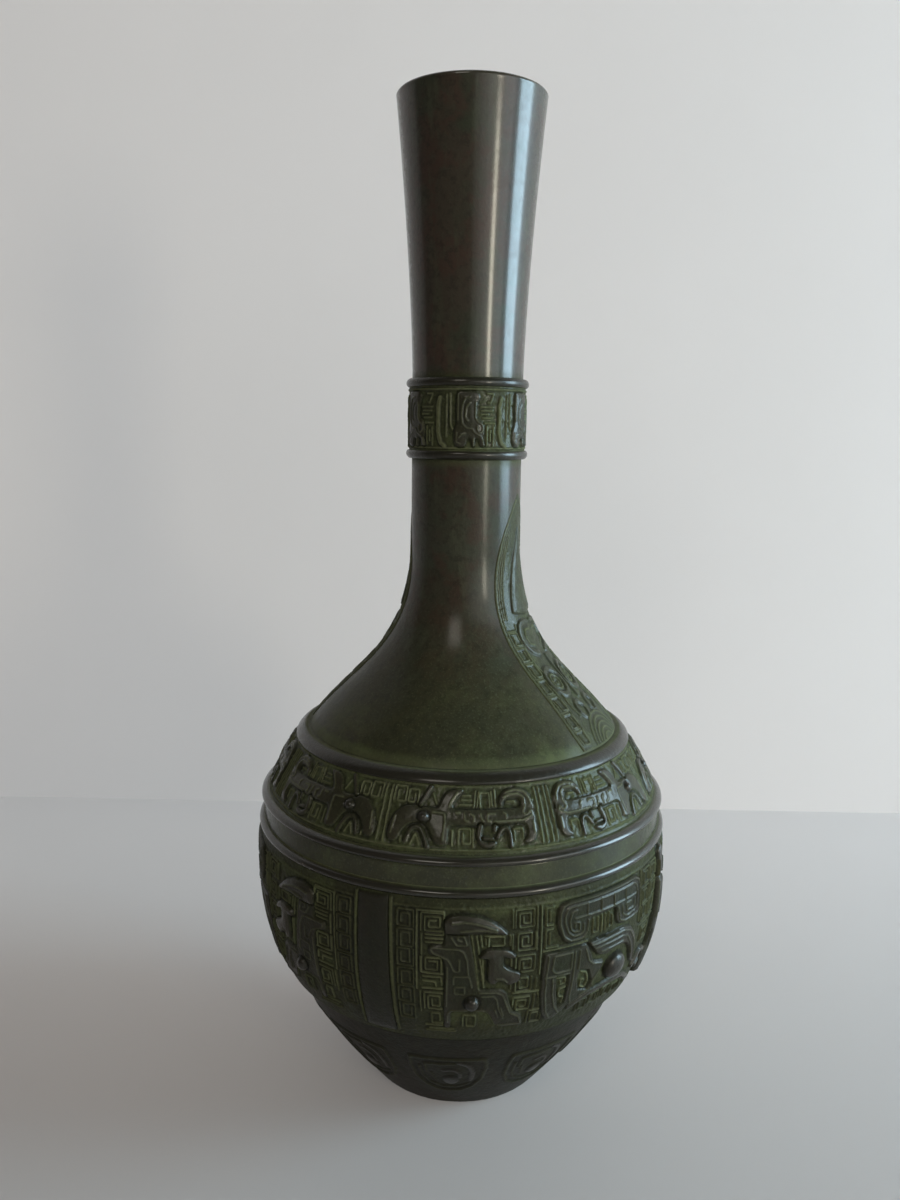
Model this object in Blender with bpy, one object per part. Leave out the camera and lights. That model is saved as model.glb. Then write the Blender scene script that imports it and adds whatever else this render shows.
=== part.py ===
"""Bronze ikebana vase: cast sections lapped and brazed at the bead lines, and a base plate let into the foot.

Metres, +Z up. The origin is the middle of the face that the vase stands on, and a taotie mask faces -Y.
A turn is an angle about the vase's axis, from -Y towards +X. A rise runs from 0 at the foot of a zone to 1
at its head.
"""

import math

import bmesh
import bpy
from mathutils import Vector
from mathutils.geometry import delaunay_2d_cdt

# Heights of the sections, from the table upwards
BOWL_HEIGHT = 0.0400
BELLY_HEIGHT = 0.0449
WAIST_HEIGHT = 0.0111
DRAGON_BAND_HEIGHT = 0.0190
SHOULDER_HEIGHT = 0.0551
LOWER_NECK_HEIGHT = 0.0269
COLLAR_HEIGHT = 0.0235
UPPER_NECK_HEIGHT = 0.0795

# Outer radii that drive the rest
BELLY_RADIUS = 0.0634
FOOT_RADIUS = 0.0279
NECK_RADIUS = 0.0166
MOUTH_RADIUS = 0.0218

# How far each zone's radius falls short of, or exceeds, the one that carries it
BELLY_FOOT_DROP = 0.0074
BELLY_TOP_DROP = 0.0006
BOWL_STEP = 0.0010
WAIST_STEP = 0.0005
BAND_STEP = 0.0017
BAND_DROP = 0.0110
SHOULDER_STEP = 0.0018
COLLAR_STEP = 0.0008

BELLY_FOOT_RADIUS = BELLY_RADIUS - BELLY_FOOT_DROP
BELLY_TOP_RADIUS = BELLY_RADIUS - BELLY_TOP_DROP
BOWL_RADIUS = BELLY_FOOT_RADIUS - BOWL_STEP
WAIST_RADIUS = BELLY_TOP_RADIUS - WAIST_STEP
DRAGON_BAND_RADIUS = WAIST_RADIUS - BAND_STEP
DRAGON_BAND_TOP_RADIUS = DRAGON_BAND_RADIUS - BAND_DROP
SHOULDER_RADIUS = DRAGON_BAND_TOP_RADIUS - SHOULDER_STEP
COLLAR_RADIUS = NECK_RADIUS + COLLAR_STEP

# Curves of the outer faces
BOWL_BULGE = 0.21
BELLY_WIDEST = 0.82
BELLY_SHARPNESS = 2.55
DRAGON_BAND_BULGE = 0.20
SHOULDER_SLOPE = 0.70
SHOULDER_SWEEP = 0.0207
NECK_SWEEP = 0.0320
MOUTH_FLARE = 1.5

# Walls, laps and clearances
BODY_WALL = 0.0032
NECK_WALL = 0.0029
MOUTH_WALL = 0.0024
MOUTH_EDGE = 0.0006
MOUTH_ROUND = 0.0012
SPIGOT_WALL = 0.0024
NECK_SPIGOT_STEP = 0.0013
SHOULDER_LAND = 0.0015
LAP_DEPTH = 0.0065
NECK_LAP_DEPTH = 0.0080
GAP = 0.0003
FILLET = 0.0020
NECK_FILLET = 0.0014
SOCKET_FLOOR = 0.0030

# Beads
BEAD_HALF_WIDTH = 0.0013
COLLAR_BEAD_PROUD = 0.0011
WAIST_BEAD_PROUD = 0.0016
WAIST_BEAD_STEP = 0.0006
WAIST_BAND_HEAD = 0.0008
SHOULDER_BEAD_PROUD = 0.0022
BEAD_STEPS = 3

# Foot and base plate
FOOT_RIM_WIDTH = 0.0036
FOOT_EDGE = 0.0006
BASE_RECESS = 0.0040
BASE_THICKNESS = 0.0025
BASE_SEAT = 0.0030
BASE_CHAMFER = 0.0004

# Relief heights above the ground of each zone
LOW = 0.0006
MIDDLE = 0.0009
HIGH = 0.0012
NOSE_HEIGHT = 0.0022
EYE_HEIGHT = 0.0026
SUNK = 0.0009

# Figures round the body
MASKS = 2
DRAGON_CELL = 45.0
COLLAR_CELL = 60.0
COLLAR_TURN = -71.0
LAPPETS = 10
BAR_WIDTH = 0.0092
BAR_FOOT = 0.02
BAR_HEAD = 0.985

# The head of the dragon band's ground, below its bead
BAND_HEAD = 0.84

# How finely the turned faces and the wrapped figures are cut, in degrees and in steps round the axis
PLATE_SPAN = 10.0
BODY_STEPS = 36
NECK_STEPS = 24
SHARP_ANGLE = 32.0

# Draft of the raised figures: shares of their width at the foot and at the top
FOOT_SPREAD = 1.12
TOP_SPREAD = 0.94
MITRE_LIMIT = 0.55

# Heights of the seams between the sections
BOWL_SEAM = BOWL_HEIGHT
BELLY_SEAM = BOWL_SEAM + BELLY_HEIGHT
WAIST_SEAM = BELLY_SEAM + WAIST_HEIGHT
SHOULDER_SEAM = WAIST_SEAM + DRAGON_BAND_HEIGHT
NECK_FOOT = SHOULDER_SEAM + SHOULDER_HEIGHT
COLLAR_SEAM = NECK_FOOT + LOWER_NECK_HEIGHT
UPPER_SEAM = COLLAR_SEAM + COLLAR_HEIGHT
MOUTH = UPPER_SEAM + UPPER_NECK_HEIGHT


def clear_scene():
    for old in list(bpy.data.objects):
        bpy.data.objects.remove(old, do_unlink=True)


def finish(name, colour, roughness, metallic):
    material = bpy.data.materials.new(name)
    material.use_nodes = True
    shader = material.node_tree.nodes["Principled BSDF"]
    shader.inputs["Base Color"].default_value = (*colour, 1.0)
    shader.inputs["Roughness"].default_value = roughness
    shader.inputs["Metallic"].default_value = metallic
    return material


def mix(low, high, share):
    return low + (high - low) * share


# Outer faces, each a curve from its foot at rise 0 to its head at rise 1


def bowl_curve(rise):
    share = rise + BOWL_BULGE * rise * (1 - rise)
    return mix(FOOT_RADIUS, BOWL_RADIUS, share), mix(0.0, BOWL_SEAM, rise)


def belly_curve(rise):
    height = mix(BOWL_SEAM, BELLY_SEAM, rise)
    if rise < BELLY_WIDEST:
        drop = max(0.0, 1 - rise / BELLY_WIDEST) ** BELLY_SHARPNESS
        return BELLY_RADIUS - (BELLY_RADIUS - BELLY_FOOT_RADIUS) * drop, height
    drop = ((rise - BELLY_WIDEST) / (1 - BELLY_WIDEST)) ** 2
    return BELLY_RADIUS - (BELLY_RADIUS - BELLY_TOP_RADIUS) * drop, height


def band_curve(rise):
    share = rise - DRAGON_BAND_BULGE * rise * (1 - rise)
    return mix(DRAGON_BAND_RADIUS, DRAGON_BAND_TOP_RADIUS, share), mix(WAIST_SEAM, SHOULDER_SEAM, rise)


def collar_curve(rise):
    return COLLAR_RADIUS, mix(COLLAR_SEAM, UPPER_SEAM, rise)


def upper_neck_curve(rise):
    return mix(NECK_RADIUS, MOUTH_RADIUS, max(rise, 0.0) ** MOUTH_FLARE), mix(UPPER_SEAM, MOUTH, rise)


def shoulder_curve(rise):
    """The shoulder's sweep as a cubic curve up to rise 1, and the straight lower neck from there to rise 2."""
    if rise > 1:
        return NECK_RADIUS, mix(NECK_FOOT, COLLAR_SEAM, rise - 1)
    lean = math.hypot(SHOULDER_SLOPE, 1)
    ends = (
        (SHOULDER_RADIUS, SHOULDER_SEAM),
        (SHOULDER_RADIUS - SHOULDER_SWEEP * SHOULDER_SLOPE / lean, SHOULDER_SEAM + SHOULDER_SWEEP / lean),
        (NECK_RADIUS, NECK_FOOT - NECK_SWEEP),
        (NECK_RADIUS, NECK_FOOT),
    )
    left = 1 - rise
    weights = (left**3, 3 * left * left * rise, 3 * left * rise * rise, rise**3)
    radius = sum(weight * end[0] for weight, end in zip(weights, ends))
    height = sum(weight * end[1] for weight, end in zip(weights, ends))
    return radius, height


def slope_at(curve, rise, step=0.001):
    """Change of radius and of height per unit of rise."""
    low = curve(rise - step)
    high = curve(rise + step)
    return (high[0] - low[0]) / (2 * step), (high[1] - low[1]) / (2 * step)


def off_curve(curve, rise, out):
    """The curve's point at a rise, moved outwards along the curve's normal."""
    radius, height = curve(rise)
    across, up = slope_at(curve, rise)
    length = math.hypot(across, up)
    return radius + out * up / length, height - out * across / length


def inside(curve, rises, wall):
    return [off_curve(curve, rise, -wall) for rise in rises]


def steps(first, last, count):
    return [mix(first, last, index / count) for index in range(count + 1)]


# Turned sections


def turned(name, outline, material, sides):
    """A closed outline of (radius, height) points, or one that ends on the axis, spun into a solid."""
    mesh = bpy.data.meshes.new(name)
    bm = bmesh.new()
    verts = [bm.verts.new((radius, 0.0, height)) for radius, height in outline]
    edges = [bm.edges.new(pair) for pair in zip(verts, verts[1:])]
    if outline[0][0] > 0:
        edges.append(bm.edges.new((verts[-1], verts[0])))
    axis = (0, 0, 1)
    bmesh.ops.spin(
        bm, geom=verts + edges, cent=(0, 0, 0), axis=axis, angle=math.tau, steps=sides, use_merge=True
    )
    bmesh.ops.remove_doubles(bm, verts=bm.verts[:], dist=0.000005)
    bmesh.ops.recalc_face_normals(bm, faces=bm.faces[:])
    bm.to_mesh(mesh)
    bm.free()
    piece = bpy.data.objects.new(name, mesh)
    bpy.context.scene.collection.objects.link(piece)
    mesh.materials.append(material)
    return piece


def smooth(piece):
    piece.data.shade_smooth()
    piece.data.set_sharp_from_angle(angle=math.radians(SHARP_ANGLE))


def bead(base, middle, proud, half_width=BEAD_HALF_WIDTH):
    """A half-round bead on a wall of radius base, from its top to its foot."""
    points = []
    for step in range(BEAD_STEPS + 1):
        angle = math.pi * (0.5 - step / BEAD_STEPS)
        points.append((base + proud * max(0.0, math.cos(angle)), middle + half_width * math.sin(angle)))
    return points


def fillet(name, socket_radius, spigot_end, size, way, material, sides):
    """Braze metal in the corner between a socket's wall and a spigot's end; way is -1 below the end, +1 above."""
    outer = socket_radius - GAP
    start = spigot_end + way * GAP
    corners = [(outer, start), (outer - size, start), (outer, start + way * size)]
    piece = turned(name, corners, material, sides)
    smooth(piece)
    return piece


# Relief: strokes and bosses wrapped on a curve and joined to the casting


class Relief:
    def __init__(self, curve):
        self.curve = curve
        self.bm = bmesh.new()

    def place(self, turn, rise, out):
        radius, height = off_curve(self.curve, rise, out)
        angle = math.radians(turn)
        return Vector((radius * math.sin(angle), -radius * math.cos(angle), height))

    def scale(self, rise):
        """Metres per degree of turn and per unit of rise."""
        radius = self.curve(rise)[0]
        return math.radians(radius), math.hypot(*slope_at(self.curve, rise))

    def stroke(self, path, widths, height, closed=False):
        """A raised bar along a path of (turn, rise) points, with mitred corners and a slight draft."""
        if not isinstance(widths, (tuple, list)):
            widths = [widths] * len(path)
        per_degree, per_rise = self.scale(path[0][1])
        flat = [Vector((turn * per_degree, rise * per_rise)) for turn, rise in path]
        rings = []
        for index, (turn, rise) in enumerate(path):
            before = flat[index] - flat[index - 1] if index or closed else flat[1] - flat[0]
            after = flat[(index + 1) % len(flat)] - flat[index] if index + 1 < len(flat) or closed else before
            middle = (before.normalized() + after.normalized()).normalized()
            mitre = 1 / max(MITRE_LIMIT, middle.dot(before.normalized()))
            side = Vector((-middle.y, middle.x)) * mitre * widths[index] / 2
            per_degree, per_rise = self.scale(rise)
            ring = []
            for sign, out in ((1, -SUNK), (1, height), (-1, height), (-1, -SUNK)):
                spread = TOP_SPREAD if out > 0 else FOOT_SPREAD
                across = sign * side.x * spread / per_degree
                along = sign * side.y * spread / per_rise
                ring.append(self.bm.verts.new(self.place(turn + across, rise + along, out)))
            rings.append(ring)
        following = rings[1:] + rings[:1] if closed else rings[1:]
        for low, high in zip(rings, following):
            self.wall(low, high)
        if not closed:
            self.bm.faces.new(rings[0][::-1])
            self.bm.faces.new(rings[-1])

    def wall(self, low, high):
        for corner in range(len(low)):
            after = (corner + 1) % len(low)
            self.bm.faces.new((low[corner], low[after], high[after], high[corner]))

    def plate(self, outline, height):
        """A flat raised figure: an outline of (turn, rise) points, cut short enough to bend round the wall."""
        corners = []
        for start, end in zip(outline, outline[1:] + outline[:1]):
            pieces = math.ceil(abs(end[0] - start[0]) / PLATE_SPAN)
            for index in range(max(1, pieces)):
                share = index / max(1, pieces)
                corners.append((mix(start[0], end[0], share), mix(start[1], end[1], share)))
        per_degree, per_rise = self.scale(outline[0][1])
        flat = [Vector((turn * per_degree, rise * per_rise)) for turn, rise in corners]
        faces = delaunay_2d_cdt(flat, [], [list(range(len(flat)))], 1, 0.000001)[2]
        low = [self.bm.verts.new(self.place(turn, rise, -SUNK)) for turn, rise in corners]
        high = [self.bm.verts.new(self.place(turn, rise, height)) for turn, rise in corners]
        for face in faces:
            self.bm.faces.new([high[index] for index in face])
            self.bm.faces.new([low[index] for index in reversed(face)])
        self.wall(low, high)

    def boss(self, turn, rise, radius, height, sides=6, round_top=False):
        """A low cone with a flat top, or a dome."""
        per_degree, per_rise = self.scale(rise)
        rings = []
        shape = ((1.0, -SUNK), (1.0, 0.5 * height), (0.62, height)) if round_top else ((1.0, -SUNK), (0.7, height))
        for spread, out in shape:
            ring = []
            for side in range(sides):
                angle = math.tau * side / sides
                across = radius * spread * math.cos(angle) / per_degree
                along = radius * spread * math.sin(angle) / per_rise
                ring.append(self.bm.verts.new(self.place(turn + across, rise + along, out)))
            rings.append(ring)
        for low, high in zip(rings, rings[1:]):
            self.wall(low, high)
        self.bm.faces.new(rings[0][::-1])
        self.bm.faces.new(rings[-1])

    def join_to(self, piece):
        """Unites the relief with its casting."""
        bmesh.ops.recalc_face_normals(self.bm, faces=self.bm.faces[:])
        mesh = bpy.data.meshes.new(piece.name + "_relief")
        self.bm.to_mesh(mesh)
        self.bm.free()
        relief = bpy.data.objects.new(mesh.name, mesh)
        bpy.context.scene.collection.objects.link(relief)
        relief.hide_render = True
        relief.display_type = "WIRE"
        union = piece.modifiers.new("relief", "BOOLEAN")
        union.operation = "UNION"
        union.solver = "EXACT"
        union.use_self = True
        union.object = relief
        with bpy.context.temp_override(object=piece, active_object=piece):
            bpy.ops.object.modifier_apply(modifier=union.name)
        bpy.data.objects.remove(relief, do_unlink=True)
        smooth(piece)


def mirrored(path, middle, side):
    return [(middle + side * turn, rise) for turn, rise in path]


def main_dragon(relief, middle, side):
    """An upright kui dragon, between a mask and a bar. Turns are counted from the mask's middle."""
    body = [
        (71.7, 0.80), (66.5, 0.80), (65.5, 0.58), (63.9, 0.41), (57.7, 0.40), (56.1, 0.28), (52.3, 0.18),
        (52.3, 0.10), (58.2, 0.10), (61.1, 0.22), (69.3, 0.24), (71.3, 0.29), (71.1, 0.54), (71.7, 0.61),
        (75.7, 0.65), (75.3, 0.72), (71.3, 0.72),
    ]
    crest = [(72.0, 0.78), (71.7, 0.92), (66.7, 0.955), (61.7, 0.92), (57.2, 0.79), (61.2, 0.845), (66.3, 0.82)]
    hook = [
        (64.1, 0.655), (61.7, 0.70), (57.2, 0.70), (54.9, 0.64), (58.5, 0.65), (58.3, 0.57), (53.9, 0.54),
        (54.7, 0.465), (61.3, 0.465), (61.5, 0.65),
    ]
    jaw = [(72.0, 0.10), (70.8, 0.17), (63.0, 0.17), (61.6, 0.09)]
    relief.plate(mirrored(body, middle, side), MIDDLE)
    relief.plate(mirrored(crest, middle, side), HIGH)
    relief.plate(mirrored(hook, middle, side), MIDDLE)
    relief.stroke(mirrored(jaw, middle, side), 0.0014, LOW)
    relief.boss(middle + side * 65.4, 0.325, 0.0023, EYE_HEIGHT, sides=8, round_top=True)


def mask_half(relief, middle, side):
    """Half of a taotie mask: horn, ear, brow, eye, jaw and nostril."""
    horn = [
        (44.7, 0.69), (44.7, 0.92), (42.7, 0.95), (16.7, 0.95), (14.7, 0.915), (14.7, 0.70), (16.2, 0.665),
        (24.2, 0.665), (25.2, 0.70), (25.2, 0.81), (35.2, 0.81), (35.2, 0.70), (36.4, 0.665), (43.5, 0.665),
    ]
    brow = [
        (35.7, 0.515), (35.7, 0.605), (21.7, 0.615), (15.2, 0.50), (12.7, 0.395), (15.7, 0.42), (20.7, 0.515),
        (28.7, 0.50),
    ]
    ear = [
        (47.4, 0.615), (44.4, 0.625), (44.4, 0.21), (41.7, 0.145), (37.7, 0.145), (37.7, 0.085), (44.2, 0.085),
        (47.4, 0.165),
    ]
    jaw = [(37.8, 0.20), (32.7, 0.25), (22.0, 0.24), (13.0, 0.15)]
    nostril = [(4.0, 0.22), (8.0, 0.15), (10.5, 0.25)]
    relief.plate(mirrored(horn, middle, side), HIGH)
    relief.plate(mirrored(brow, middle, side), HIGH)
    relief.plate(mirrored(ear, middle, side), MIDDLE)
    relief.stroke(mirrored([(37.3, 0.605), (37.3, 0.27)], middle, side), 0.0028, MIDDLE)
    relief.stroke(mirrored([(43.4, 0.52), (39.6, 0.52)], middle, side), 0.0044, LOW)
    relief.stroke(mirrored(jaw, middle, side), 0.0020, MIDDLE)
    relief.stroke(mirrored(nostril, middle, side), 0.0026, HIGH)
    relief.boss(middle + side * 23.7, 0.37, 0.0041, EYE_HEIGHT, sides=10, round_top=True)


def belly_relief():
    relief = Relief(belly_curve)
    for mask in range(MASKS):
        middle = 180.0 * mask
        for side in (1, -1):
            main_dragon(relief, middle, side)
            mask_half(relief, middle, side)
        nose = [(middle, 0.96), (middle, 0.72), (middle, 0.45), (middle, 0.16)]
        relief.stroke(nose, (0.0036, 0.0048, 0.0050, 0.0076), NOSE_HEIGHT)
        bar = [(middle + 90, rise) for rise in steps(BAR_FOOT, BAR_HEAD, 3)]
        relief.stroke(bar, BAR_WIDTH, MIDDLE)
    return relief


def band_dragon(relief, start, side):
    """A walking kui dragon. Turns are counted from the line where two heads meet."""
    body = [
        (3.0, 0.26), (4.0, 0.50), (8.0, 0.62), (16.0, 0.61), (18.0, 0.78), (21.0, 0.80), (20.6, 0.60),
        (39.4, 0.59), (39.2, 0.71), (35.0, 0.71), (32.0, 0.66), (32.2, 0.79), (41.8, 0.81), (43.0, 0.72),
        (42.8, 0.18), (40.4, 0.19), (40.2, 0.42), (36.0, 0.41), (35.8, 0.18), (32.8, 0.18), (33.2, 0.41),
        (30.8, 0.41), (30.6, 0.20), (25.4, 0.18), (28.4, 0.29), (28.6, 0.41), (19.0, 0.42), (23.0, 0.20),
        (16.5, 0.20), (15.0, 0.40), (11.5, 0.40), (10.4, 0.17), (7.0, 0.16), (7.4, 0.38),
    ]
    relief.plate(mirrored(body, start, side), MIDDLE)
    relief.boss(start + side * 11.6, 0.52, 0.0017, HIGH * 1.5)


def band_relief():
    relief = Relief(band_curve)
    for pair in range(round(180 / DRAGON_CELL)):
        for side in (1, -1):
            band_dragon(relief, 2 * DRAGON_CELL * pair, side)
    return relief


def collar_relief():
    """A kui scroll in each cell of the collar."""
    relief = Relief(collar_curve)
    for cell in range(round(360 / COLLAR_CELL)):
        middle = COLLAR_TURN + COLLAR_CELL * cell
        scroll = [
            (-12, 0.30), (-22, 0.45), (-22, 0.72), (-7, 0.72), (4, 0.56), (10, 0.34), (24, 0.28), (24, 0.55),
            (13, 0.71),
        ]
        relief.stroke(mirrored(scroll, middle, 1), 0.0024, LOW)
    return relief


def shoulder_relief():
    """Two blade panels that taper up the shoulder onto the neck."""
    relief = Relief(shoulder_curve)
    edge = [(21.0, 0.02), (25.0, 0.3), (31.0, 0.6), (32.5, 0.85), (27.0, 1.08), (9.0, 1.58), (0.0, 1.74)]
    for blade in range(MASKS):
        middle = 180.0 * blade
        for side in (1, -1):
            relief.stroke(mirrored(edge, middle, side), 0.0030, LOW)
        leaf = [(middle, 0.68), (middle, 0.9), (middle, 1.2), (middle, 1.5)]
        relief.stroke(leaf, (0.0092, 0.0070, 0.0042, 0.0010), MIDDLE)
        relief.boss(middle, 0.36, 0.0042, HIGH, sides=8)
        relief.stroke([(middle - 14, 0.2), (middle, 0.25), (middle + 14, 0.2)], 0.0030, MIDDLE)
    return relief


def bowl_relief():
    """Hanging lappets round the lower bowl."""
    relief = Relief(bowl_curve)
    half = [(14.0, 0.74), (14.0, 0.44), (6.0, 0.27)]
    for lappet in range(LAPPETS):
        middle = 360.0 / LAPPETS * lappet
        rim = mirrored(half[::-1], middle, -1) + [(middle, 0.745)] + mirrored(half, middle, 1)
        relief.stroke(rim, 0.0020, LOW, closed=True)
        relief.boss(middle, 0.42, 0.0028, MIDDLE, sides=5)
        relief.stroke([(middle - 7, 0.62), (middle + 5, 0.64), (middle + 7, 0.52)], 0.0022, LOW)
    return relief


# Sockets and spigots of the body's laps

BOWL_SOCKET = bowl_curve(1 - (LAP_DEPTH + FILLET) / BOWL_HEIGHT)[0] - BODY_WALL
BELLY_SOCKET = BELLY_TOP_RADIUS - BODY_WALL
WAIST_SOCKET = DRAGON_BAND_RADIUS - BODY_WALL
BAND_SOCKET = SHOULDER_RADIUS - SHOULDER_LAND + GAP
NECK_SPIGOT = NECK_RADIUS - NECK_SPIGOT_STEP
COLLAR_SOCKET = NECK_SPIGOT + GAP
NECK_BORE = NECK_RADIUS - NECK_WALL


def spigot_below(seam, socket, depth):
    """A spigot that hangs below a seam into a socket, from its outer corner to its inner one."""
    outer = socket - GAP
    return [
        (outer, seam + GAP / 2),
        (outer, seam - depth),
        (outer - SPIGOT_WALL, seam - depth),
    ]


def socket_mouth(seam, socket, depth):
    """A socket's wall, from its floor up to the seam."""
    return [(socket, seam - depth - SOCKET_FLOOR), (socket, seam - GAP / 2)]


def make_mouth_neck(material):
    head = 1 - MOUTH_ROUND / UPPER_NECK_HEIGHT
    outer = [upper_neck_curve(rise) for rise in steps(head, 0.0, 7)]
    outer[-1] = (outer[-1][0], UPPER_SEAM + GAP / 2)
    mouth = [
        (MOUTH_RADIUS - MOUTH_WALL + MOUTH_EDGE, MOUTH),
        (MOUTH_RADIUS - MOUTH_EDGE, MOUTH),
    ]
    spigot = [
        (NECK_SPIGOT, UPPER_SEAM + GAP / 2),
        (NECK_SPIGOT, UPPER_SEAM - NECK_LAP_DEPTH),
        (NECK_BORE, UPPER_SEAM - NECK_LAP_DEPTH),
        (NECK_BORE, UPPER_SEAM),
    ]
    inner = inside(upper_neck_curve, steps(0.3, head, 3), MOUTH_WALL)
    piece = turned("mouth_neck", mouth + outer + spigot + inner, material, NECK_STEPS)
    smooth(piece)


def make_neck_collar(material):
    top_bead = bead(COLLAR_RADIUS, UPPER_SEAM - BEAD_HALF_WIDTH - GAP / 2, COLLAR_BEAD_PROUD)
    foot_bead = bead(COLLAR_RADIUS, COLLAR_SEAM + BEAD_HALF_WIDTH + GAP / 2, COLLAR_BEAD_PROUD)
    bore = [(COLLAR_SOCKET, COLLAR_SEAM + GAP / 2), (COLLAR_SOCKET, UPPER_SEAM - GAP / 2)]
    piece = turned("neck_collar", top_bead + foot_bead + bore, material, NECK_STEPS)
    collar_relief().join_to(piece)


def make_shoulder(material):
    spigot = [
        (NECK_BORE, COLLAR_SEAM + NECK_LAP_DEPTH),
        (NECK_SPIGOT, COLLAR_SEAM + NECK_LAP_DEPTH),
        (NECK_SPIGOT, COLLAR_SEAM - GAP / 2),
        (NECK_RADIUS, COLLAR_SEAM - GAP / 2),
    ]
    outer = [shoulder_curve(rise) for rise in steps(1.0, 0.0, 8)]
    outer[-1] = (SHOULDER_RADIUS, SHOULDER_SEAM + GAP / 2)
    lap = spigot_below(SHOULDER_SEAM, BAND_SOCKET, LAP_DEPTH)
    lap.append((lap[-1][0], SHOULDER_SEAM))
    inner = inside(shoulder_curve, steps(0.2, 1.0, 4), NECK_WALL)
    piece = turned("shoulder", spigot + outer + lap + inner, material, BODY_STEPS)
    shoulder_relief().join_to(piece)


def make_dragon_band(material):
    middle = SHOULDER_SEAM - GAP / 2 - BEAD_HALF_WIDTH
    rim = bead(DRAGON_BAND_TOP_RADIUS, middle, SHOULDER_BEAD_PROUD)
    outer = [band_curve(rise) for rise in steps(BAND_HEAD, 0.0, 3)]
    outer[-1] = (DRAGON_BAND_RADIUS, WAIST_SEAM + GAP / 2)
    lap = spigot_below(WAIST_SEAM, WAIST_SOCKET, LAP_DEPTH)
    lap.append((lap[-1][0], WAIST_SEAM))
    inner = inside(band_curve, (0.42,), BODY_WALL)
    socket = socket_mouth(SHOULDER_SEAM, BAND_SOCKET, LAP_DEPTH)
    piece = turned("dragon_band", rim + outer + lap + inner + socket, material, BODY_STEPS)
    band_relief().join_to(piece)


def make_waist_ring(material):
    upper_base = DRAGON_BAND_RADIUS + WAIST_BEAD_STEP
    upper_proud = WAIST_BEAD_PROUD + WAIST_BEAD_STEP
    upper = bead(upper_base, WAIST_SEAM - BEAD_HALF_WIDTH - GAP / 2, upper_proud)
    lower = bead(WAIST_RADIUS, BELLY_SEAM + BEAD_HALF_WIDTH + GAP / 2, WAIST_BEAD_PROUD)
    band = [(WAIST_RADIUS, WAIST_SEAM - 2 * BEAD_HALF_WIDTH - WAIST_BAND_HEAD)]
    lap = spigot_below(BELLY_SEAM, BELLY_SOCKET, LAP_DEPTH)
    inner = [(lap[-1][0], BELLY_SEAM)]
    socket = socket_mouth(WAIST_SEAM, WAIST_SOCKET, LAP_DEPTH)
    piece = turned("waist_ring", upper + band + lower + lap + inner + socket, material, BODY_STEPS)
    smooth(piece)


def make_belly(material):
    outer = [belly_curve(rise) for rise in steps(1.0, 0.0, 6)]
    outer[0] = (outer[0][0], BELLY_SEAM - GAP / 2)
    outer[-1] = (outer[-1][0], BOWL_SEAM + GAP / 2)
    lap = spigot_below(BOWL_SEAM, BOWL_SOCKET, LAP_DEPTH)
    lap.append((lap[-1][0], BOWL_SEAM))
    inner = inside(belly_curve, (0.14, 0.36, 0.6), BODY_WALL)
    socket = socket_mouth(BELLY_SEAM, BELLY_SOCKET, LAP_DEPTH)
    piece = turned("belly", outer + lap + inner + socket, material, BODY_STEPS)
    belly_relief().join_to(piece)


def make_foot_bowl(material):
    outer = [bowl_curve(rise) for rise in steps(1.0, FOOT_EDGE / BOWL_HEIGHT, 5)]
    outer[0] = (BOWL_RADIUS, BOWL_SEAM - GAP / 2)
    recess = FOOT_RADIUS - FOOT_RIM_WIDTH
    seat_height = BASE_RECESS + BASE_THICKNESS + GAP
    foot = [
        (FOOT_RADIUS - FOOT_EDGE, 0.0),
        (recess + FOOT_EDGE, 0.0),
        (recess, FOOT_EDGE),
        (recess, seat_height),
        (recess - BASE_SEAT, seat_height),
        (recess - BASE_SEAT, seat_height + BASE_THICKNESS / 2),
    ]
    inner = inside(bowl_curve, (0.32, 0.52), BODY_WALL)
    socket = socket_mouth(BOWL_SEAM, BOWL_SOCKET, LAP_DEPTH)
    piece = turned("foot_bowl", outer + foot + inner + socket, material, BODY_STEPS)
    bowl_relief().join_to(piece)


def make_base_plate(material, solder):
    recess = FOOT_RADIUS - FOOT_RIM_WIDTH
    radius = recess - GAP
    top = BASE_RECESS + BASE_THICKNESS
    outline = [
        (0.0, top),
        (radius - BASE_CHAMFER, top),
        (radius, top - BASE_CHAMFER),
        (radius, BASE_RECESS),
        (0.0, BASE_RECESS),
    ]
    smooth(turned("base_plate", outline, material, BODY_STEPS))
    fillet("base_solder", recess, BASE_RECESS, FILLET, -1, solder, BODY_STEPS)


def make_fillets(material):
    joints = (
        ("foot_braze", BOWL_SOCKET, BOWL_SEAM),
        ("lower_waist_braze", BELLY_SOCKET, BELLY_SEAM),
        ("upper_waist_braze", WAIST_SOCKET, WAIST_SEAM),
        ("shoulder_braze", BAND_SOCKET, SHOULDER_SEAM),
    )
    for name, socket, seam in joints:
        fillet(name, socket, seam - LAP_DEPTH, FILLET, -1, material, BODY_STEPS)
    upper_end = UPPER_SEAM - NECK_LAP_DEPTH
    lower_end = COLLAR_SEAM + NECK_LAP_DEPTH
    fillet("upper_collar_braze", COLLAR_SOCKET, upper_end, NECK_FILLET, -1, material, NECK_STEPS)
    fillet("lower_collar_braze", COLLAR_SOCKET, lower_end, NECK_FILLET, 1, material, NECK_STEPS)


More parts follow.
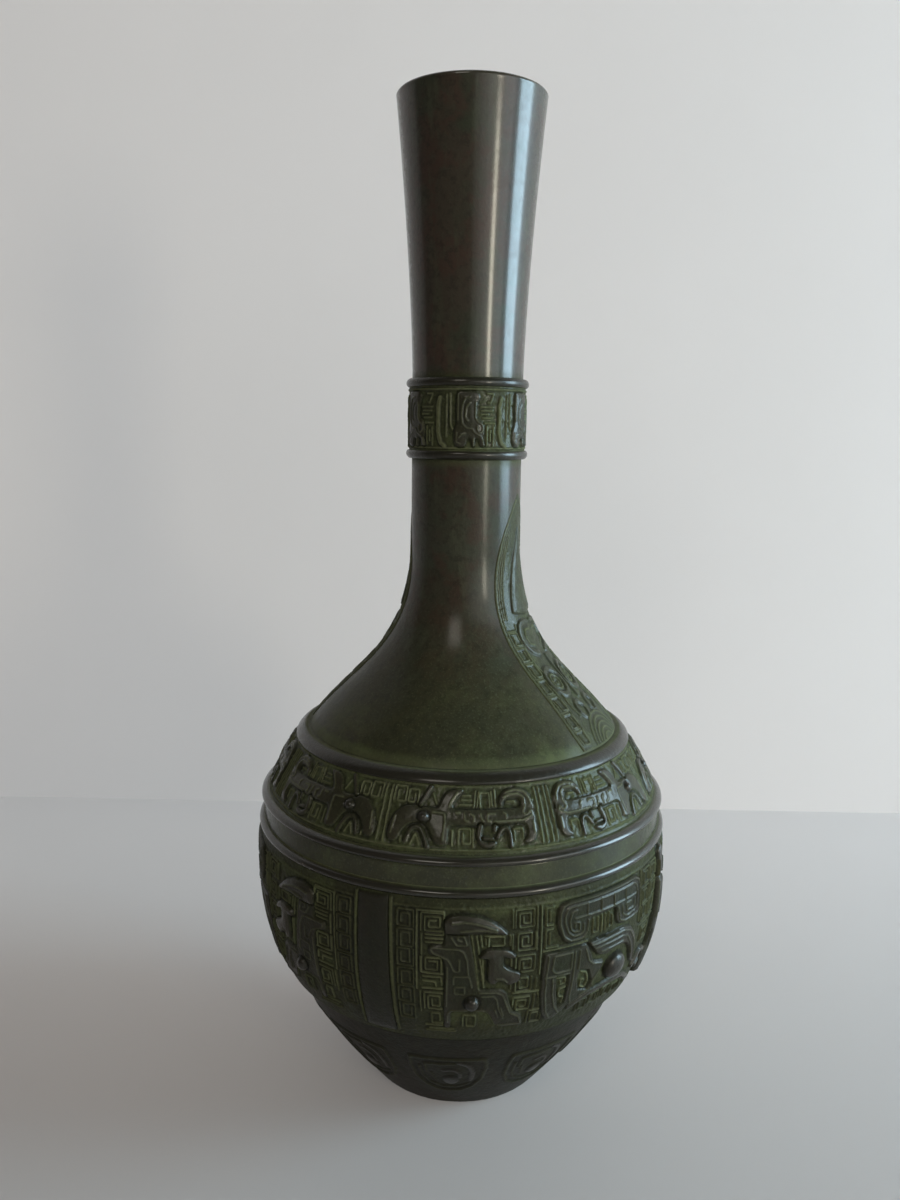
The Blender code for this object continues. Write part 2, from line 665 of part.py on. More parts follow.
def main():
    clear_scene()
    bronze = finish("patinated bronze", (0.035, 0.033, 0.022), 0.42, 0.6)
    green_bronze = finish("green patinated bronze", (0.045, 0.06, 0.03), 0.5, 0.45)
    braze = finish("braze", (0.42, 0.30, 0.12), 0.45, 1.0)
    solder = finish("solder", (0.30, 0.30, 0.29), 0.5, 1.0)
    make_mouth_neck(bronze)
    make_neck_collar(green_bronze)
    make_shoulder(bronze)
    make_dragon_band(green_bronze)
    make_waist_ring(green_bronze)
    make_belly(green_bronze)
    make_foot_bowl(bronze)
    make_base_plate(bronze, solder)
    make_fillets(braze)


main()
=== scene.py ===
"""Bronze ikebana vase: cast relief, patina, stage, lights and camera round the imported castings.

Metres, +Z up. A turn is an angle about the vase's axis in degrees, from -Y towards +X. The friezes are drawn
flat, on grids of places across and up in millimetres, and then wrapped on the turned faces.
"""

import math

import bpy
import numpy as np
from mathutils import Matrix, Vector


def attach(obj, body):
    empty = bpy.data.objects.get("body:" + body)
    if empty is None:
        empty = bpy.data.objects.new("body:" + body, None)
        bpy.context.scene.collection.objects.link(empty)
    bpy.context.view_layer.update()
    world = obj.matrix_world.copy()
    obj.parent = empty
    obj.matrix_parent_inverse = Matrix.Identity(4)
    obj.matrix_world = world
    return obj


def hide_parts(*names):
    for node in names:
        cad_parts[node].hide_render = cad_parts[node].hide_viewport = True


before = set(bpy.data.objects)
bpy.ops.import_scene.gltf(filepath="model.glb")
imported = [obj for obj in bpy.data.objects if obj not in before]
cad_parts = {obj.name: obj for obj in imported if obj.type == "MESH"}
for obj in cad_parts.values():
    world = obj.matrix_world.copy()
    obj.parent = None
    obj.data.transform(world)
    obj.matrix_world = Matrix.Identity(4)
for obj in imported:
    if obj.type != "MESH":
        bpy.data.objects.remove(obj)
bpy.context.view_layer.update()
bpy.ops.object.select_all(action="DESELECT")

MM = 0.001

# Heights of the seams between the castings, in millimetres
BOWL_SEAM = 40.0
BELLY_SEAM = 84.9
WAIST_SEAM = 96.0
SHOULDER_SEAM = 115.0
NECK_FOOT = 170.1
COLLAR_SEAM = 197.0
UPPER_SEAM = 220.5
MOUTH = 300.0

# Outer radii, in millimetres
FOOT_RADIUS = 27.9
BOWL_RADIUS = 55.0
BELLY_FOOT_RADIUS = 56.0
BELLY_RADIUS = 63.4
BELLY_TOP_RADIUS = 62.8
WAIST_RADIUS = 62.3
BAND_RADIUS = 60.6
BAND_TOP_RADIUS = 49.6
SHOULDER_RADIUS = 47.8
NECK_RADIUS = 16.6
COLLAR_RADIUS = 17.4
MOUTH_RADIUS = 21.8

# Walls and laps, in millimetres
BODY_WALL = 3.2
NECK_WALL = 2.9
MOUTH_WALL = 2.4
SPIGOT_WALL = 2.4
LAP_DEPTH = 6.5
NECK_LAP_DEPTH = 8.0
GAP = 0.3
SEAM_GAP = 0.04
SOCKET_FLOOR = 3.0
NECK_REBATE = 1.3
SHOULDER_REBATE = 1.5
BEAD_WIDTH = 2.6

# Heights of the relief above its ground and the run of its drafted sides, in millimetres
LINE = 0.50
HIGH_PLATE = 0.95
THREAD = 0.30
EDGE = 0.30

# Vertex marks: green patina, wear, pale deposit with painted highlight, and dark stains with painted shade
MARKS = ("green", "worn", "pale", "stain_and_shade")

# Edges that bend more than this stay sharp, in degrees, and places closer than this are merged, in metres
CARVED_SHARP = 62
TURNED_SHARP = 40
MERGE = 0.000002

# The photograph is taken from this turn
VIEW_TURN = -68.7


def mix(low, high, share):
    return low + (high - low) * share


def smooth_step(value):
    value = np.clip(value, 0.0, 1.0)
    return value * value * (3 - 2 * value)


# Outer faces of the castings, each a curve from its foot at rise 0 to its head at rise 1


def bowl_curve(rise):
    share = rise + 0.21 * rise * (1 - rise)
    return mix(FOOT_RADIUS, BOWL_RADIUS, share), mix(0.0, BOWL_SEAM, rise)


def bowl_bore():
    """Inner radius of the bowl where the belly's spigot stands in it."""
    return bowl_curve(1 - (LAP_DEPTH + 2.0) / BOWL_SEAM)[0] - BODY_WALL


def belly_curve(rise):
    widest = 0.82
    height = mix(BOWL_SEAM, BELLY_SEAM, rise)
    if rise < widest:
        drop = max(0.0, 1 - rise / widest) ** 2.55
        return BELLY_RADIUS - (BELLY_RADIUS - BELLY_FOOT_RADIUS) * drop, height
    drop = ((rise - widest) / (1 - widest)) ** 2
    return BELLY_RADIUS - (BELLY_RADIUS - BELLY_TOP_RADIUS) * drop, height


def band_curve(rise):
    share = rise - 0.20 * rise * (1 - rise)
    return mix(BAND_RADIUS, BAND_TOP_RADIUS, share), mix(WAIST_SEAM, SHOULDER_SEAM, rise)


def collar_curve(rise):
    return COLLAR_RADIUS, mix(COLLAR_SEAM, UPPER_SEAM, rise)


def upper_neck_curve(rise):
    return mix(NECK_RADIUS, MOUTH_RADIUS, max(rise, 0.0) ** 1.5), mix(UPPER_SEAM, MOUTH, rise)


def shoulder_curve(rise):
    """The shoulder's sweep up to rise 1, and the straight lower neck from there to rise 2."""
    if rise > 1:
        return NECK_RADIUS, mix(NECK_FOOT, COLLAR_SEAM, rise - 1)
    slope = 0.70
    sweep = 20.7
    lean = math.hypot(slope, 1)
    ends = (
        (SHOULDER_RADIUS, SHOULDER_SEAM),
        (SHOULDER_RADIUS - sweep * slope / lean, SHOULDER_SEAM + sweep / lean),
        (NECK_RADIUS, NECK_FOOT - 32.0),
        (NECK_RADIUS, NECK_FOOT),
    )
    left = 1 - rise
    weights = (left**3, 3 * left * left * rise, 3 * left * rise * rise, rise**3)
    radius = sum(weight * end[0] for weight, end in zip(weights, ends))
    height = sum(weight * end[1] for weight, end in zip(weights, ends))
    return radius, height


def normal_at(curve, rise):
    """The outward normal of a curve, across and up."""
    step = 0.001
    low = curve(rise - step)
    high = curve(rise + step)
    across = high[0] - low[0]
    up = high[1] - low[1]
    length = math.hypot(across, up)
    return up / length, -across / length


def off_curve(curve, rise, out):
    """A point beside a curve, outwards along its normal."""
    radius, height = curve(rise)
    across, up = normal_at(curve, rise)
    return radius + out * across, height + out * up


def steps(first, last, count):
    """Values from first to last, at the ends of the given number of equal steps."""
    return [mix(first, last, index / count) for index in range(count + 1)]


def rise_at(curve, height):
    """The rise at which a curve reaches a height."""
    low = -0.1
    high = 2.0
    for _ in range(40):
        middle = (low + high) / 2
        if curve(middle)[1] < height:
            low = middle
        else:
            high = middle
    return low


# Sections: rows of (radius, height, normal across, normal up) that a grid of vertices follows


class Section:
    """A closed outline of a casting's section. The rows of its ground carry relief."""

    def __init__(self):
        self.rows = []
        self.ground = slice(0, 0)
        self.marks = []

    def add(self, points, green=0.0, worn=0.0):
        """Plain rows at (radius, height) points."""
        for radius, height in points:
            self.rows.append((radius, height, 0.0, 0.0))
            self.marks.append((green, worn, 0.0, 0.0))

    def follow(self, curve, heights):
        """Rows along an outer curve at the given heights. They are the section's ground."""
        start = len(self.rows)
        for height in heights:
            rise = rise_at(curve, height)
            self.rows.append((*curve(rise), *normal_at(curve, rise)))
            self.marks.append((0.0, 0.0, 0.0, 0.0))
        self.ground = slice(start, len(self.rows))

    def inside(self, curve, wall, rises):
        """The inner face, a wall's thickness inside an outer curve."""
        self.add([off_curve(curve, rise, -wall) for rise in rises])

    def socket(self, radius, seam):
        """The socket below a seam that takes the next casting's spigot."""
        self.add([(radius, seam - SEAM_GAP), (radius, seam - LAP_DEPTH - SOCKET_FLOOR)])

    def spigot(self, outer, seam):
        """The spigot below a seam: down its inner face and back up its outer one."""
        inner = outer - SPIGOT_WALL
        foot = seam - LAP_DEPTH
        self.add([(inner, seam), (inner, foot), (outer, foot), (outer, seam + SEAM_GAP)])

    def bead(self, foot, head, proud):
        """A half-round bead from its foot to its head, both (radius, height) points.

        It is worn on its crest and green in the grooves beside it. Its crest is darkened too, partly as the
        bead's own dark bronze and partly as painted shade.
        """
        for half_turns in steps(-0.5, 0.5, 12):
            angle = math.pi * half_turns
            crest = math.cos(angle)
            share = 0.5 + 0.5 * math.sin(angle)
            radius = mix(foot[0], head[0], share) + proud * max(0.0, crest)
            self.rows.append((radius, mix(foot[1], head[1], share), 0.0, 0.0))
            groove = max(0.0, 1 - 1.7 * crest)
            # The last mark darkens the crest: painted shade, with the bead's own darker bronze
            self.marks.append((groove, 0.60 * crest, 0.6 * groove, 0.35 * min(1.0, crest * 1.5)))


def blur(field, size, wrap):
    """The field averaged over a square of 2 * size + 1 places, twice."""
    for _ in range(2):
        for axis in (0, 1):
            mode = "wrap" if wrap and axis == 1 else "edge"
            widths = [(0, 0), (0, 0)]
            widths[axis] = (size + 1, size)
            total = np.cumsum(np.pad(field, widths, mode=mode), axis=axis)
            span = 2 * size + 1
            if axis == 0:
                field = (total[span:] - total[:-span]) / span
            else:
                field = (total[:, span:] - total[:, :-span]) / span
    return field


def patina(relief, ground, closed, chalk_and_highlight=0.75):
    """Where a carved face is green, worn, pale and dark, from its relief. Pale is chalky deposit and painted
    highlight on the crests of lines; dark is painted shade in hollows, with the relief's stains.

    The ground says how green it is all over, and chalk_and_highlight how much pale deposit and painted
    highlight its lines have.
    """
    height = relief.total()
    around = blur(height, 2, closed)
    wide = blur(height, 9, closed)
    bare = 1 - relief.plates
    beside = np.clip(blur(relief.plates, 5, closed) * 1.6, 0, 1)
    crest = np.clip((height - wide) * 1.3 + 0.10, 0, 1)
    green = np.clip(ground + (0.50 + 0.30 * beside) * bare, 0, 1)
    worn = np.clip(relief.plates * crest, 0, 1) * (1 - 0.7 * relief.lines)
    # Pale on the crests of raised lines: chalky deposit and painted highlight
    standing = np.clip((height - around) * 7.0 + 0.15, 0, 1)
    pale = chalk_and_highlight * relief.lines * standing * (0.30 + 0.75 * green)
    # Painted shade in hollows below their surroundings, joined with the relief's stains
    stain_and_shade = np.maximum(np.clip((around - height) * 4.0, 0, 1) * (1 - relief.lines), relief.stain)
    return height, (green, worn, pale, stain_and_shade)


def placed_grid(name, places, fields):
    """A grid of vertices at the given places, rows by columns, in millimetres."""
    row_count, column_count, _ = places.shape
    bpy.ops.mesh.primitive_grid_add(x_subdivisions=column_count - 1, y_subdivisions=row_count - 1, size=2)
    piece = bpy.context.object
    piece.name = name
    mesh = piece.data
    mesh.name = name
    flat = np.zeros(len(mesh.vertices) * 3)
    mesh.vertices.foreach_get("co", flat)
    flat = flat.reshape(-1, 3)
    column = np.rint((flat[:, 0] + 1) / 2 * (column_count - 1)).astype(int)
    row = np.rint((flat[:, 1] + 1) / 2 * (row_count - 1)).astype(int)
    mesh.vertices.foreach_set("co", (places[row, column] * MM).ravel())
    for label, field in zip(MARKS, fields):
        attribute = mesh.attributes.new(label, "FLOAT", "POINT")
        attribute.data.foreach_set("value", field[row, column].astype(np.float32))
    return piece


def close_up(piece):
    """Merge a grid's meeting borders, fill its open ends and shade it."""
    bpy.ops.object.mode_set(mode="EDIT")
    bpy.ops.mesh.select_all(action="SELECT")
    bpy.ops.mesh.remove_doubles(threshold=MERGE)
    bpy.ops.mesh.select_all(action="DESELECT")
    bpy.ops.mesh.select_non_manifold(extend=False, use_wire=False, use_multi_face=False)
    bpy.ops.mesh.fill(use_beauty=False)
    bpy.ops.mesh.select_all(action="SELECT")
    bpy.ops.mesh.normals_make_consistent(inside=False)
    bpy.ops.object.mode_set(mode="OBJECT")
    bpy.ops.object.shade_smooth_by_angle(angle=math.radians(CARVED_SHARP))
    piece.select_set(False)
    return piece


def round_axis(rows, angle, out):
    """Places of a grid whose rows follow a section, moved out by the relief, at angles in radians."""
    radius = rows[:, 0, None] + rows[:, 2, None] * out
    height = rows[:, 1, None] + rows[:, 3, None] * out
    return np.stack([radius * np.sin(angle), -radius * np.cos(angle), height], axis=2)


def carved(name, section, turns, relief_and_marks):
    """A casting whose ground carries relief: its section wrapped through the turns."""
    rows = np.array(section.rows + section.rows[:1])
    marks = np.array(section.marks + section.marks[:1])
    out = np.zeros((len(rows), len(turns)))
    fields = [np.repeat(column[:, None], len(turns), axis=1) for column in marks.T]
    relief, painted = relief_and_marks
    out[section.ground] = relief
    out[-1] = out[0]
    for field, paint in zip(fields, painted):
        field[section.ground] = paint
    places = round_axis(rows, np.radians(turns)[None, :], out)
    return close_up(placed_grid(name, places, fields))


def spun(name, section, count):
    """A plain turned casting: its section drawn as a wire and spun round the axis."""
    bpy.ops.mesh.primitive_plane_add(size=MM)
    piece = bpy.context.object
    piece.name = name
    piece.data.name = name
    bpy.ops.object.mode_set(mode="EDIT")
    bpy.ops.mesh.select_all(action="DESELECT")
    bpy.ops.object.mode_set(mode="OBJECT")
    for vertex in piece.data.vertices:
        vertex.select = vertex.index > 0
    bpy.ops.object.mode_set(mode="EDIT")
    bpy.ops.mesh.delete(type="VERT")
    bpy.ops.mesh.select_all(action="SELECT")
    corner = -0.5 * MM
    here = Vector((corner, corner, 0))
    points = [Vector((0, -radius, height)) * MM for radius, height, *_ in section.rows]
    bpy.ops.transform.translate(value=points[0] - here)
    for start, end in zip(points, points[1:] + points[:1]):
        bpy.ops.mesh.extrude_region_move(TRANSFORM_OT_translate={"value": end - start})
    bpy.ops.mesh.select_all(action="SELECT")
    bpy.ops.mesh.remove_doubles(threshold=MERGE)
    bpy.ops.mesh.spin(steps=count, angle=math.tau, center=(0, 0, 0), axis=(0, 0, 1))
    bpy.ops.mesh.select_all(action="SELECT")
    bpy.ops.mesh.remove_doubles(threshold=MERGE)
    bpy.ops.mesh.normals_make_consistent(inside=False)
    bpy.ops.object.mode_set(mode="OBJECT")
    mark_rings(piece, section)
    bpy.ops.object.shade_smooth_by_angle(angle=math.radians(TURNED_SHARP))
    piece.select_set(False)
    return piece


def mark_rings(piece, section):
    """Give every vertex of a turned piece the marks of its place in the section."""
    mesh = piece.data
    flat = np.zeros(len(mesh.vertices) * 3)
    mesh.vertices.foreach_get("co", flat)
    flat = flat.reshape(-1, 3) / MM
    radius = np.hypot(flat[:, 0], flat[:, 1])
    rows = np.array(section.rows)
    marks = np.array(section.marks)
    away = np.hypot(radius[:, None] - rows[None, :, 0], flat[:, 2, None] - rows[None, :, 1])
    nearest = away.argmin(axis=1)
    for index, label in enumerate(MARKS):
        attribute = mesh.attributes.new(label, "FLOAT", "POINT")
        attribute.data.foreach_set("value", marks[nearest, index].astype(np.float32))


# Relief drawn on flat cells


def rounded(points, reach, closed=False):
    """A path with its corners cut round, back to the reach along each side."""
    if closed:
        trios = zip(points[-1:] + points[:-1], points, points[1:] + points[:1])
        path = []
    else:
        trios = zip(points, points[1:], points[2:])
        path = [points[0]]
    for before, corner, after in trios:
        ends = []
        for other in (before, after):
            length = math.hypot(other[0] - corner[0], other[1] - corner[1])
            share = min(0.45, reach / max(length, 1e-6))
            ends.append((mix(corner[0], other[0], share), mix(corner[1], other[1], share)))
        middle = tuple((first + last + 2 * point) / 4 for first, last, point in zip(*ends, corner))
        path += [ends[0], middle, ends[1]]
    if not closed:
        path.append(points[-1])
    return path


def arc(centre, radius, first, last, squash=1.0, count=16):
    """Points on an arc from one angle to another, in degrees, wider than high by the squash."""
    angles = [math.radians(angle) for angle in steps(first, last, count)]
    return [(centre[0] + squash * radius * math.cos(a), centre[1] + radius * math.sin(a)) for a in angles]


class Relief:
    """Heights over a cell, on a grid of places across and up, in millimetres.

    Patterns are drawn as (across, up) points. The scale turns the first of these, often an angle in degrees,
    into millimetres. The lines and plates say where thin raised lines and flat figures stand, from 0 to 1.
    """

    def __init__(self, across, up, scale=1.0, origin=0.0):
        self.across = np.asarray(across, float)
        self.up = np.asarray(up, float)
        self.scale = scale
        self.origin = origin
        shape = (len(self.up), len(self.across))
        self.height = np.zeros(shape)
        self.threads = np.zeros(shape)
        self.lines = np.zeros(shape)
        self.plates = np.zeros(shape)
        self.stain = np.zeros(shape)

    def total(self):
        """The heights with the threads that lie on top of the figures."""
        return self.height + self.threads

    def flat(self, path):
        """A path in millimetres on the grid."""
        return [((x - self.origin) * self.scale, y) for x, y in path]

    def window(self, points, margin):
        """The part of the grid round some points, and the places in it."""
        xs = [point[0] for point in points]
        ys = [point[1] for point in points]
        columns = slice(*np.searchsorted(self.across, (min(xs) - margin, max(xs) + margin)))
        rows = slice(*np.searchsorted(self.up, (min(ys) - margin, max(ys) + margin)))
        x, y = np.meshgrid(self.across[columns], self.up[rows])
        return (rows, columns), x, y

    def distance(self, x, y, points):
        """Distance to a path from each place."""
        nearest = np.full(x.shape, 1e9)
        for (x0, y0), (x1, y1) in zip(points, points[1:]):
            dx = x1 - x0
            dy = y1 - y0
            share = np.clip(((x - x0) * dx + (y - y0) * dy) / max(dx * dx + dy * dy, 1e-9), 0, 1)
            nearest = np.minimum(nearest, np.hypot(x - x0 - share * dx, y - y0 - share * dy))
        return nearest

    def depth_inside(self, x, y, points):
        """Distance to an outline, positive inside it."""
        odd = np.zeros(x.shape, bool)
        for (x0, y0), (x1, y1) in zip(points, points[1:] + points[:1]):
            if y0 != y1:
                crosses = ((y0 > y) != (y1 > y)) & (x < (x1 - x0) * (y - y0) / (y1 - y0) + x0)
                odd ^= crosses
        away = self.distance(x, y, points + points[:1])
        return np.where(odd, away, -away)

    def stroke(self, path, width, closed=False):
        """Where a line lies: 1 on it, falling to 0 beside it."""
        points = rounded(self.flat(path), 0.4, closed)
        if closed:
            points = points + points[:1]
        place, x, y = self.window(points, width + 0.4)
        return place, smooth_step((width / 2 + 0.17 - self.distance(x, y, points)) / 0.34)

    def line(self, path, width=0.50, height=LINE, closed=False):
        """A thin raised line on the ground."""
        place, share = self.stroke(path, width, closed)
        self.height[place] = np.maximum(self.height[place], height * share)
        self.lines[place] = np.maximum(self.lines[place], share)

    def thread(self, path, width=0.42, height=THREAD):
        """A thin raised line on top of a figure."""
        place, share = self.stroke(path, width)
        self.threads[place] = np.maximum(self.threads[place], height * share)
        self.lines[place] = np.maximum(self.lines[place], share)

    def groove(self, path, width, depth):
        """An engraved line."""
        place, share = self.stroke(path, width)
        self.height[place] = np.maximum(self.height[place] - depth * share, -0.05)

    def bar(self, path, width, height, edge=EDGE):
        """A flat-topped raised band with drafted sides, on ground cleared beside it."""
        points = rounded(self.flat(path), 1.2)
        place, x, y = self.window(points, width + 1)
        self.raise_plate(place, width / 2 - self.distance(x, y, points), height, edge, 0.12)

    def plate(self, outline, height, edge=EDGE, crown=0.0):
        """A flat raised figure with drafted sides, on ground cleared round it."""
        points = rounded(self.flat(outline), 0.7, True)
        place, x, y = self.window(points, 2.0)
        self.raise_plate(place, self.depth_inside(x, y, points), height, edge, crown)

    def raise_plate(self, place, away, height, edge, crown):
        """Raise the places that lie inside a figure, by how far inside they are."""
        above = smooth_step(away / edge + 0.5)
        top = height + crown * smooth_step(away / 1.6)
        clear = smooth_step((-away - 0.25) / 0.3)
        self.height[place] = np.maximum(self.height[place] * np.maximum(clear, above), top * above)
        self.lines[place] = self.lines[place] * clear
        self.plates[place] = np.maximum(self.plates[place], above)

    def sink(self, outline):
        """A panel sunk nearly to the ground in a raised figure."""
        floor = 0.05
        points = self.flat(outline)
        place, x, y = self.window(points, 1.0)
        share = smooth_step(self.depth_inside(x, y, points) / EDGE + 0.5)
        self.height[place] = self.height[place] * (1 - share) + floor * share
        self.plates[place] = self.plates[place] * (1 - share)

    def dome(self, centre, radius, height, squash=1.0, foot=0.0):
        """A round boss, wider than high by the squash, with a sunk ring at its foot."""
        (x0, y0), = self.flat([centre])
        place, x, y = self.window([(x0, y0)], radius * 2.2)
        away = np.hypot((x - x0) / squash, y - y0) / radius
        ring = smooth_step(1 - np.abs(away - 1.12) / 0.28)
        ground = self.height[place] * (1 - ring * foot)
        cap = height * np.sqrt(np.clip(1 - away * away, 0, 1)) ** 0.8
        inside = away < 1
        self.height[place] = np.where(inside, np.maximum(ground, cap), ground)
        self.threads[place] = np.where(away < 1.15, 0, self.threads[place])
        self.lines[place] = np.where(away < 1.15, 0, self.lines[place])
        self.plates[place] = np.where(inside, 1.0, self.plates[place])
        self.stain[place] = np.where(inside, 0.55, self.stain[place])

    def cast(self, seed, amount):
        """The faint unevenness of a cast ground."""
        random = np.random.default_rng(seed)
        fine = blur(random.standard_normal(self.height.shape), 1, False)
        broad = blur(random.standard_normal(self.height.shape), 4, False)
        fine = fine / fine.std()
        broad = broad / broad.std()
        ground = 1 - 0.75 * self.plates
        self.height += amount * ground * (0.55 * fine + 0.45 * broad)

    def fade(self, low, high):
        """Let the relief run out towards the heights that bound it."""
        reach = 0.6
        share = smooth_step((self.up - low) / reach) * smooth_step((high - self.up) / reach)
        self.height *= share[:, None]
        self.threads *= share[:, None]
        self.lines *= share[:, None]
        self.plates *= share[:, None]

    def patches(self, places):
        """A field that rises or falls round (across, up, half width, half height, amount) places."""
        field = np.zeros(self.height.shape)
        for x, y, wide, tall, amount in places:
            (middle, level), = self.flat([(x, y)])
            reach = ((self.across[None, :] - middle) / wide) ** 2 + ((self.up[:, None] - level) / tall) ** 2
            field += amount * np.exp(-reach)
        return field

    def spread(self, arrange):
        """A copy whose cells are arranged side by side, as round a ring."""
        copy = Relief(np.zeros(1), self.up)
        for label in ("height", "threads", "lines", "plates", "stain"):
            setattr(copy, label, arrange(getattr(self, label)))
        return copy


def coil(width, height, pitch=1.06):
    """A square spiral from its lower left corner inwards, as (across, up) points round its middle."""
    left, right = -width / 2, width / 2
    low, high = -height / 2, height / 2
    x, y = left, low
    corners = [(x, y)]
    side = 0
    while right - left > 0.6 * pitch and high - low > 0.6 * pitch:
        if side % 4 == 0:
            y = high
            left += pitch
        elif side % 4 == 1:
            x = right
            high -= pitch
        elif side % 4 == 2:
            y = low
            right -= pitch
        else:
            x = left
            low += pitch
        corners.append((x, y))
        side += 1
    return corners


def coils(relief, places, **options):
    """Square spirals at (across, up, width, height, turn, flip) places, sizes in millimetres."""
    for middle, up, width, height, turn, flip in places:
        path = [(middle + turn * x / relief.scale, up + flip * y) for x, y in coil(width, height)]
        relief.line(path, **options)


def mirrored(field):
    """A cell followed by its mirror image."""
    return np.concatenate([field, field[:, -2::-1]], axis=1)


def repeated(field, count):
    """A cell repeated, each border shared."""
    return np.concatenate([field] + [field[:, 1:]] * (count - 1), axis=1)


# Main frieze: the quarter from the middle of a plain bar to the middle of a mask. Its patterns are drawn by
# the angle from the photograph's line of sight, where the bar's middle is at -21.3 and the mask's at 68.7.

FRIEZE_START = -21.3
FRIEZE_SCALE = math.radians(63.6)
FRIEZE_COLUMNS = 400
FRIEZE_ROWS = 184


def frieze_ground(relief):
    """The ground of square spirals and the loose lines between the figures."""
    coils(
        relief,
        (
            (-13.0, 79.0, 4.5, 4.6, -1, 1), (-13.0, 73.4, 4.5, 5.0, 1, 1), (-13.0, 67.7, 4.5, 5.0, -1, -1),
            (-13.0, 62.0, 4.5, 5.0, 1, 1), (-13.0, 56.3, 4.5, 5.0, -1, 1), (-13.0, 50.4, 4.5, 5.0, 1, -1),
            (35.6, 46.8, 3.6, 3.6, 1, 1), (40.0, 47.6, 3.6, 3.6, -1, 1), (44.6, 47.8, 3.6, 3.6, 1, 1),
            (49.4, 46.6, 3.6, 3.2, -1, 1), (54.2, 46.4, 3.6, 3.2, 1, 1),
        ),
        width=0.44, height=0.42,
    )
    relief.line([(-16.2, 82.3), (68.7, 82.3)], 0.7, 0.16)
    relief.lines *= 0.45
    coils(
        relief,
        (
            (-6.4, 78.5, 6.2, 5.0, 1, 1), (-6.6, 66.0, 5.4, 4.6, 1, -1), (-6.0, 54.9, 5.4, 5.4, 1, 1),
            (15.9, 79.0, 5.2, 4.9, 1, 1), (16.5, 72.4, 4.9, 4.9, -1, -1), (16.3, 65.9, 5.4, 4.9, 1, 1),
            (16.2, 59.4, 4.6, 4.2, -1, -1), (16.1, 53.2, 4.9, 4.2, 1, 1), (20.4, 47.9, 4.4, 4.6, 1, 1),
            (58.0, 79.0, 4.8, 4.6, 1, 1), (58.0, 73.4, 4.8, 4.8, -1, 1), (58.0, 67.8, 4.8, 4.8, 1, -1),
            (63.6, 79.0, 4.8, 4.6, -1, 1), (63.6, 73.4, 4.8, 4.8, 1, 1), (63.6, 67.8, 4.8, 4.8, -1, -1),
            (60.0, 60.6, 5.2, 4.8, 1, 1), (9.0, 73.2, 4.2, 2.6, 1, 1), (2.9, 48.2, 3.6, 4.0, 1, 1),
            (-5.2, 48.9, 3.4, 3.6, -1, -1),
        ),
        width=0.44,
    )
    for path in (
        [(-8.3, 44.2), (-0.5, 44.2)],
        [(-10.1, 75.6), (-10.1, 81.6), (-3.6, 81.6), (-3.6, 75.2)],
        [(-10.2, 81.6), (-10.2, 58.6)],
        [(-9.0, 74.9), (-9.0, 69.2)],
        [(-8.0, 75.0), (-3.9, 75.0)],
        [(-8.0, 73.9), (-3.9, 73.9)],
        [(-8.0, 72.8), (-4.2, 72.8)],
        [(-9.2, 68.4), (-9.2, 64.0), (-3.8, 63.6)],
        [(-8.6, 62.6), (-4.2, 62.6), (-4.0, 60.2)],
        [(-8.6, 61.2), (-5.6, 61.2), (-5.4, 59.8)],
        [(-8.8, 59.0), (-3.9, 59.0)],
        [(-9.4, 57.8), (-9.4, 51.0)],
        [(-8.4, 46.2), (-2.6, 46.4)],
        [(-7.4, 45.0), (-1.0, 45.0)],
        [(-3.4, 51.0), (-3.4, 47.0)],
        [(4.2, 74.8), (6.2, 59.6)],
        [(5.2, 74.9), (5.6, 71.8)],
        [(6.3, 74.8), (12.4, 74.8), (12.4, 71.8)],
        [(6.4, 74.0), (6.4, 72.4)],
        [(5.7, 68.2), (6.1, 61.6)],
        [(12.9, 81.6), (12.9, 76.6)],
        [(12.9, 74.6), (12.9, 70.4)],
        [(12.8, 67.9), (12.8, 65.6)],
        [(12.9, 61.2), (12.9, 58.6)],
        [(19.1, 81.8), (19.1, 69.6)],
        [(20.2, 81.8), (20.2, 62.0)],
        [(19.6, 60.8), (19.6, 57.4)],
        [(13.6, 57.0), (20.4, 56.7)],
        [(19.6, 55.6), (19.6, 50.6)],
        [(20.4, 55.8), (22.0, 51.0)],
        [(23.4, 80.9), (21.4, 80.9), (21.4, 76.0), (23.2, 76.0)],
        [(22.5, 79.8), (22.5, 77.2)],
        [(23.2, 74.8), (21.4, 74.8), (21.4, 69.4), (24.8, 69.4)],
        [(22.5, 73.6), (22.5, 70.6)],
        [(20.8, 68.6), (33.6, 68.6)],
        [(35.2, 74.6), (35.2, 70.4), (36.9, 70.4), (36.9, 74.6)],
        [(38.2, 74.8), (38.2, 69.8)],
        [(39.4, 74.8), (39.4, 69.8)],
        [(40.6, 74.8), (40.6, 70.4), (42.0, 70.4), (42.0, 73.6)],
        [(54.9, 82.0), (54.9, 66.0)],
        [(55.6, 64.2), (66.0, 64.2)],
    ):
        relief.line(path, 0.46)


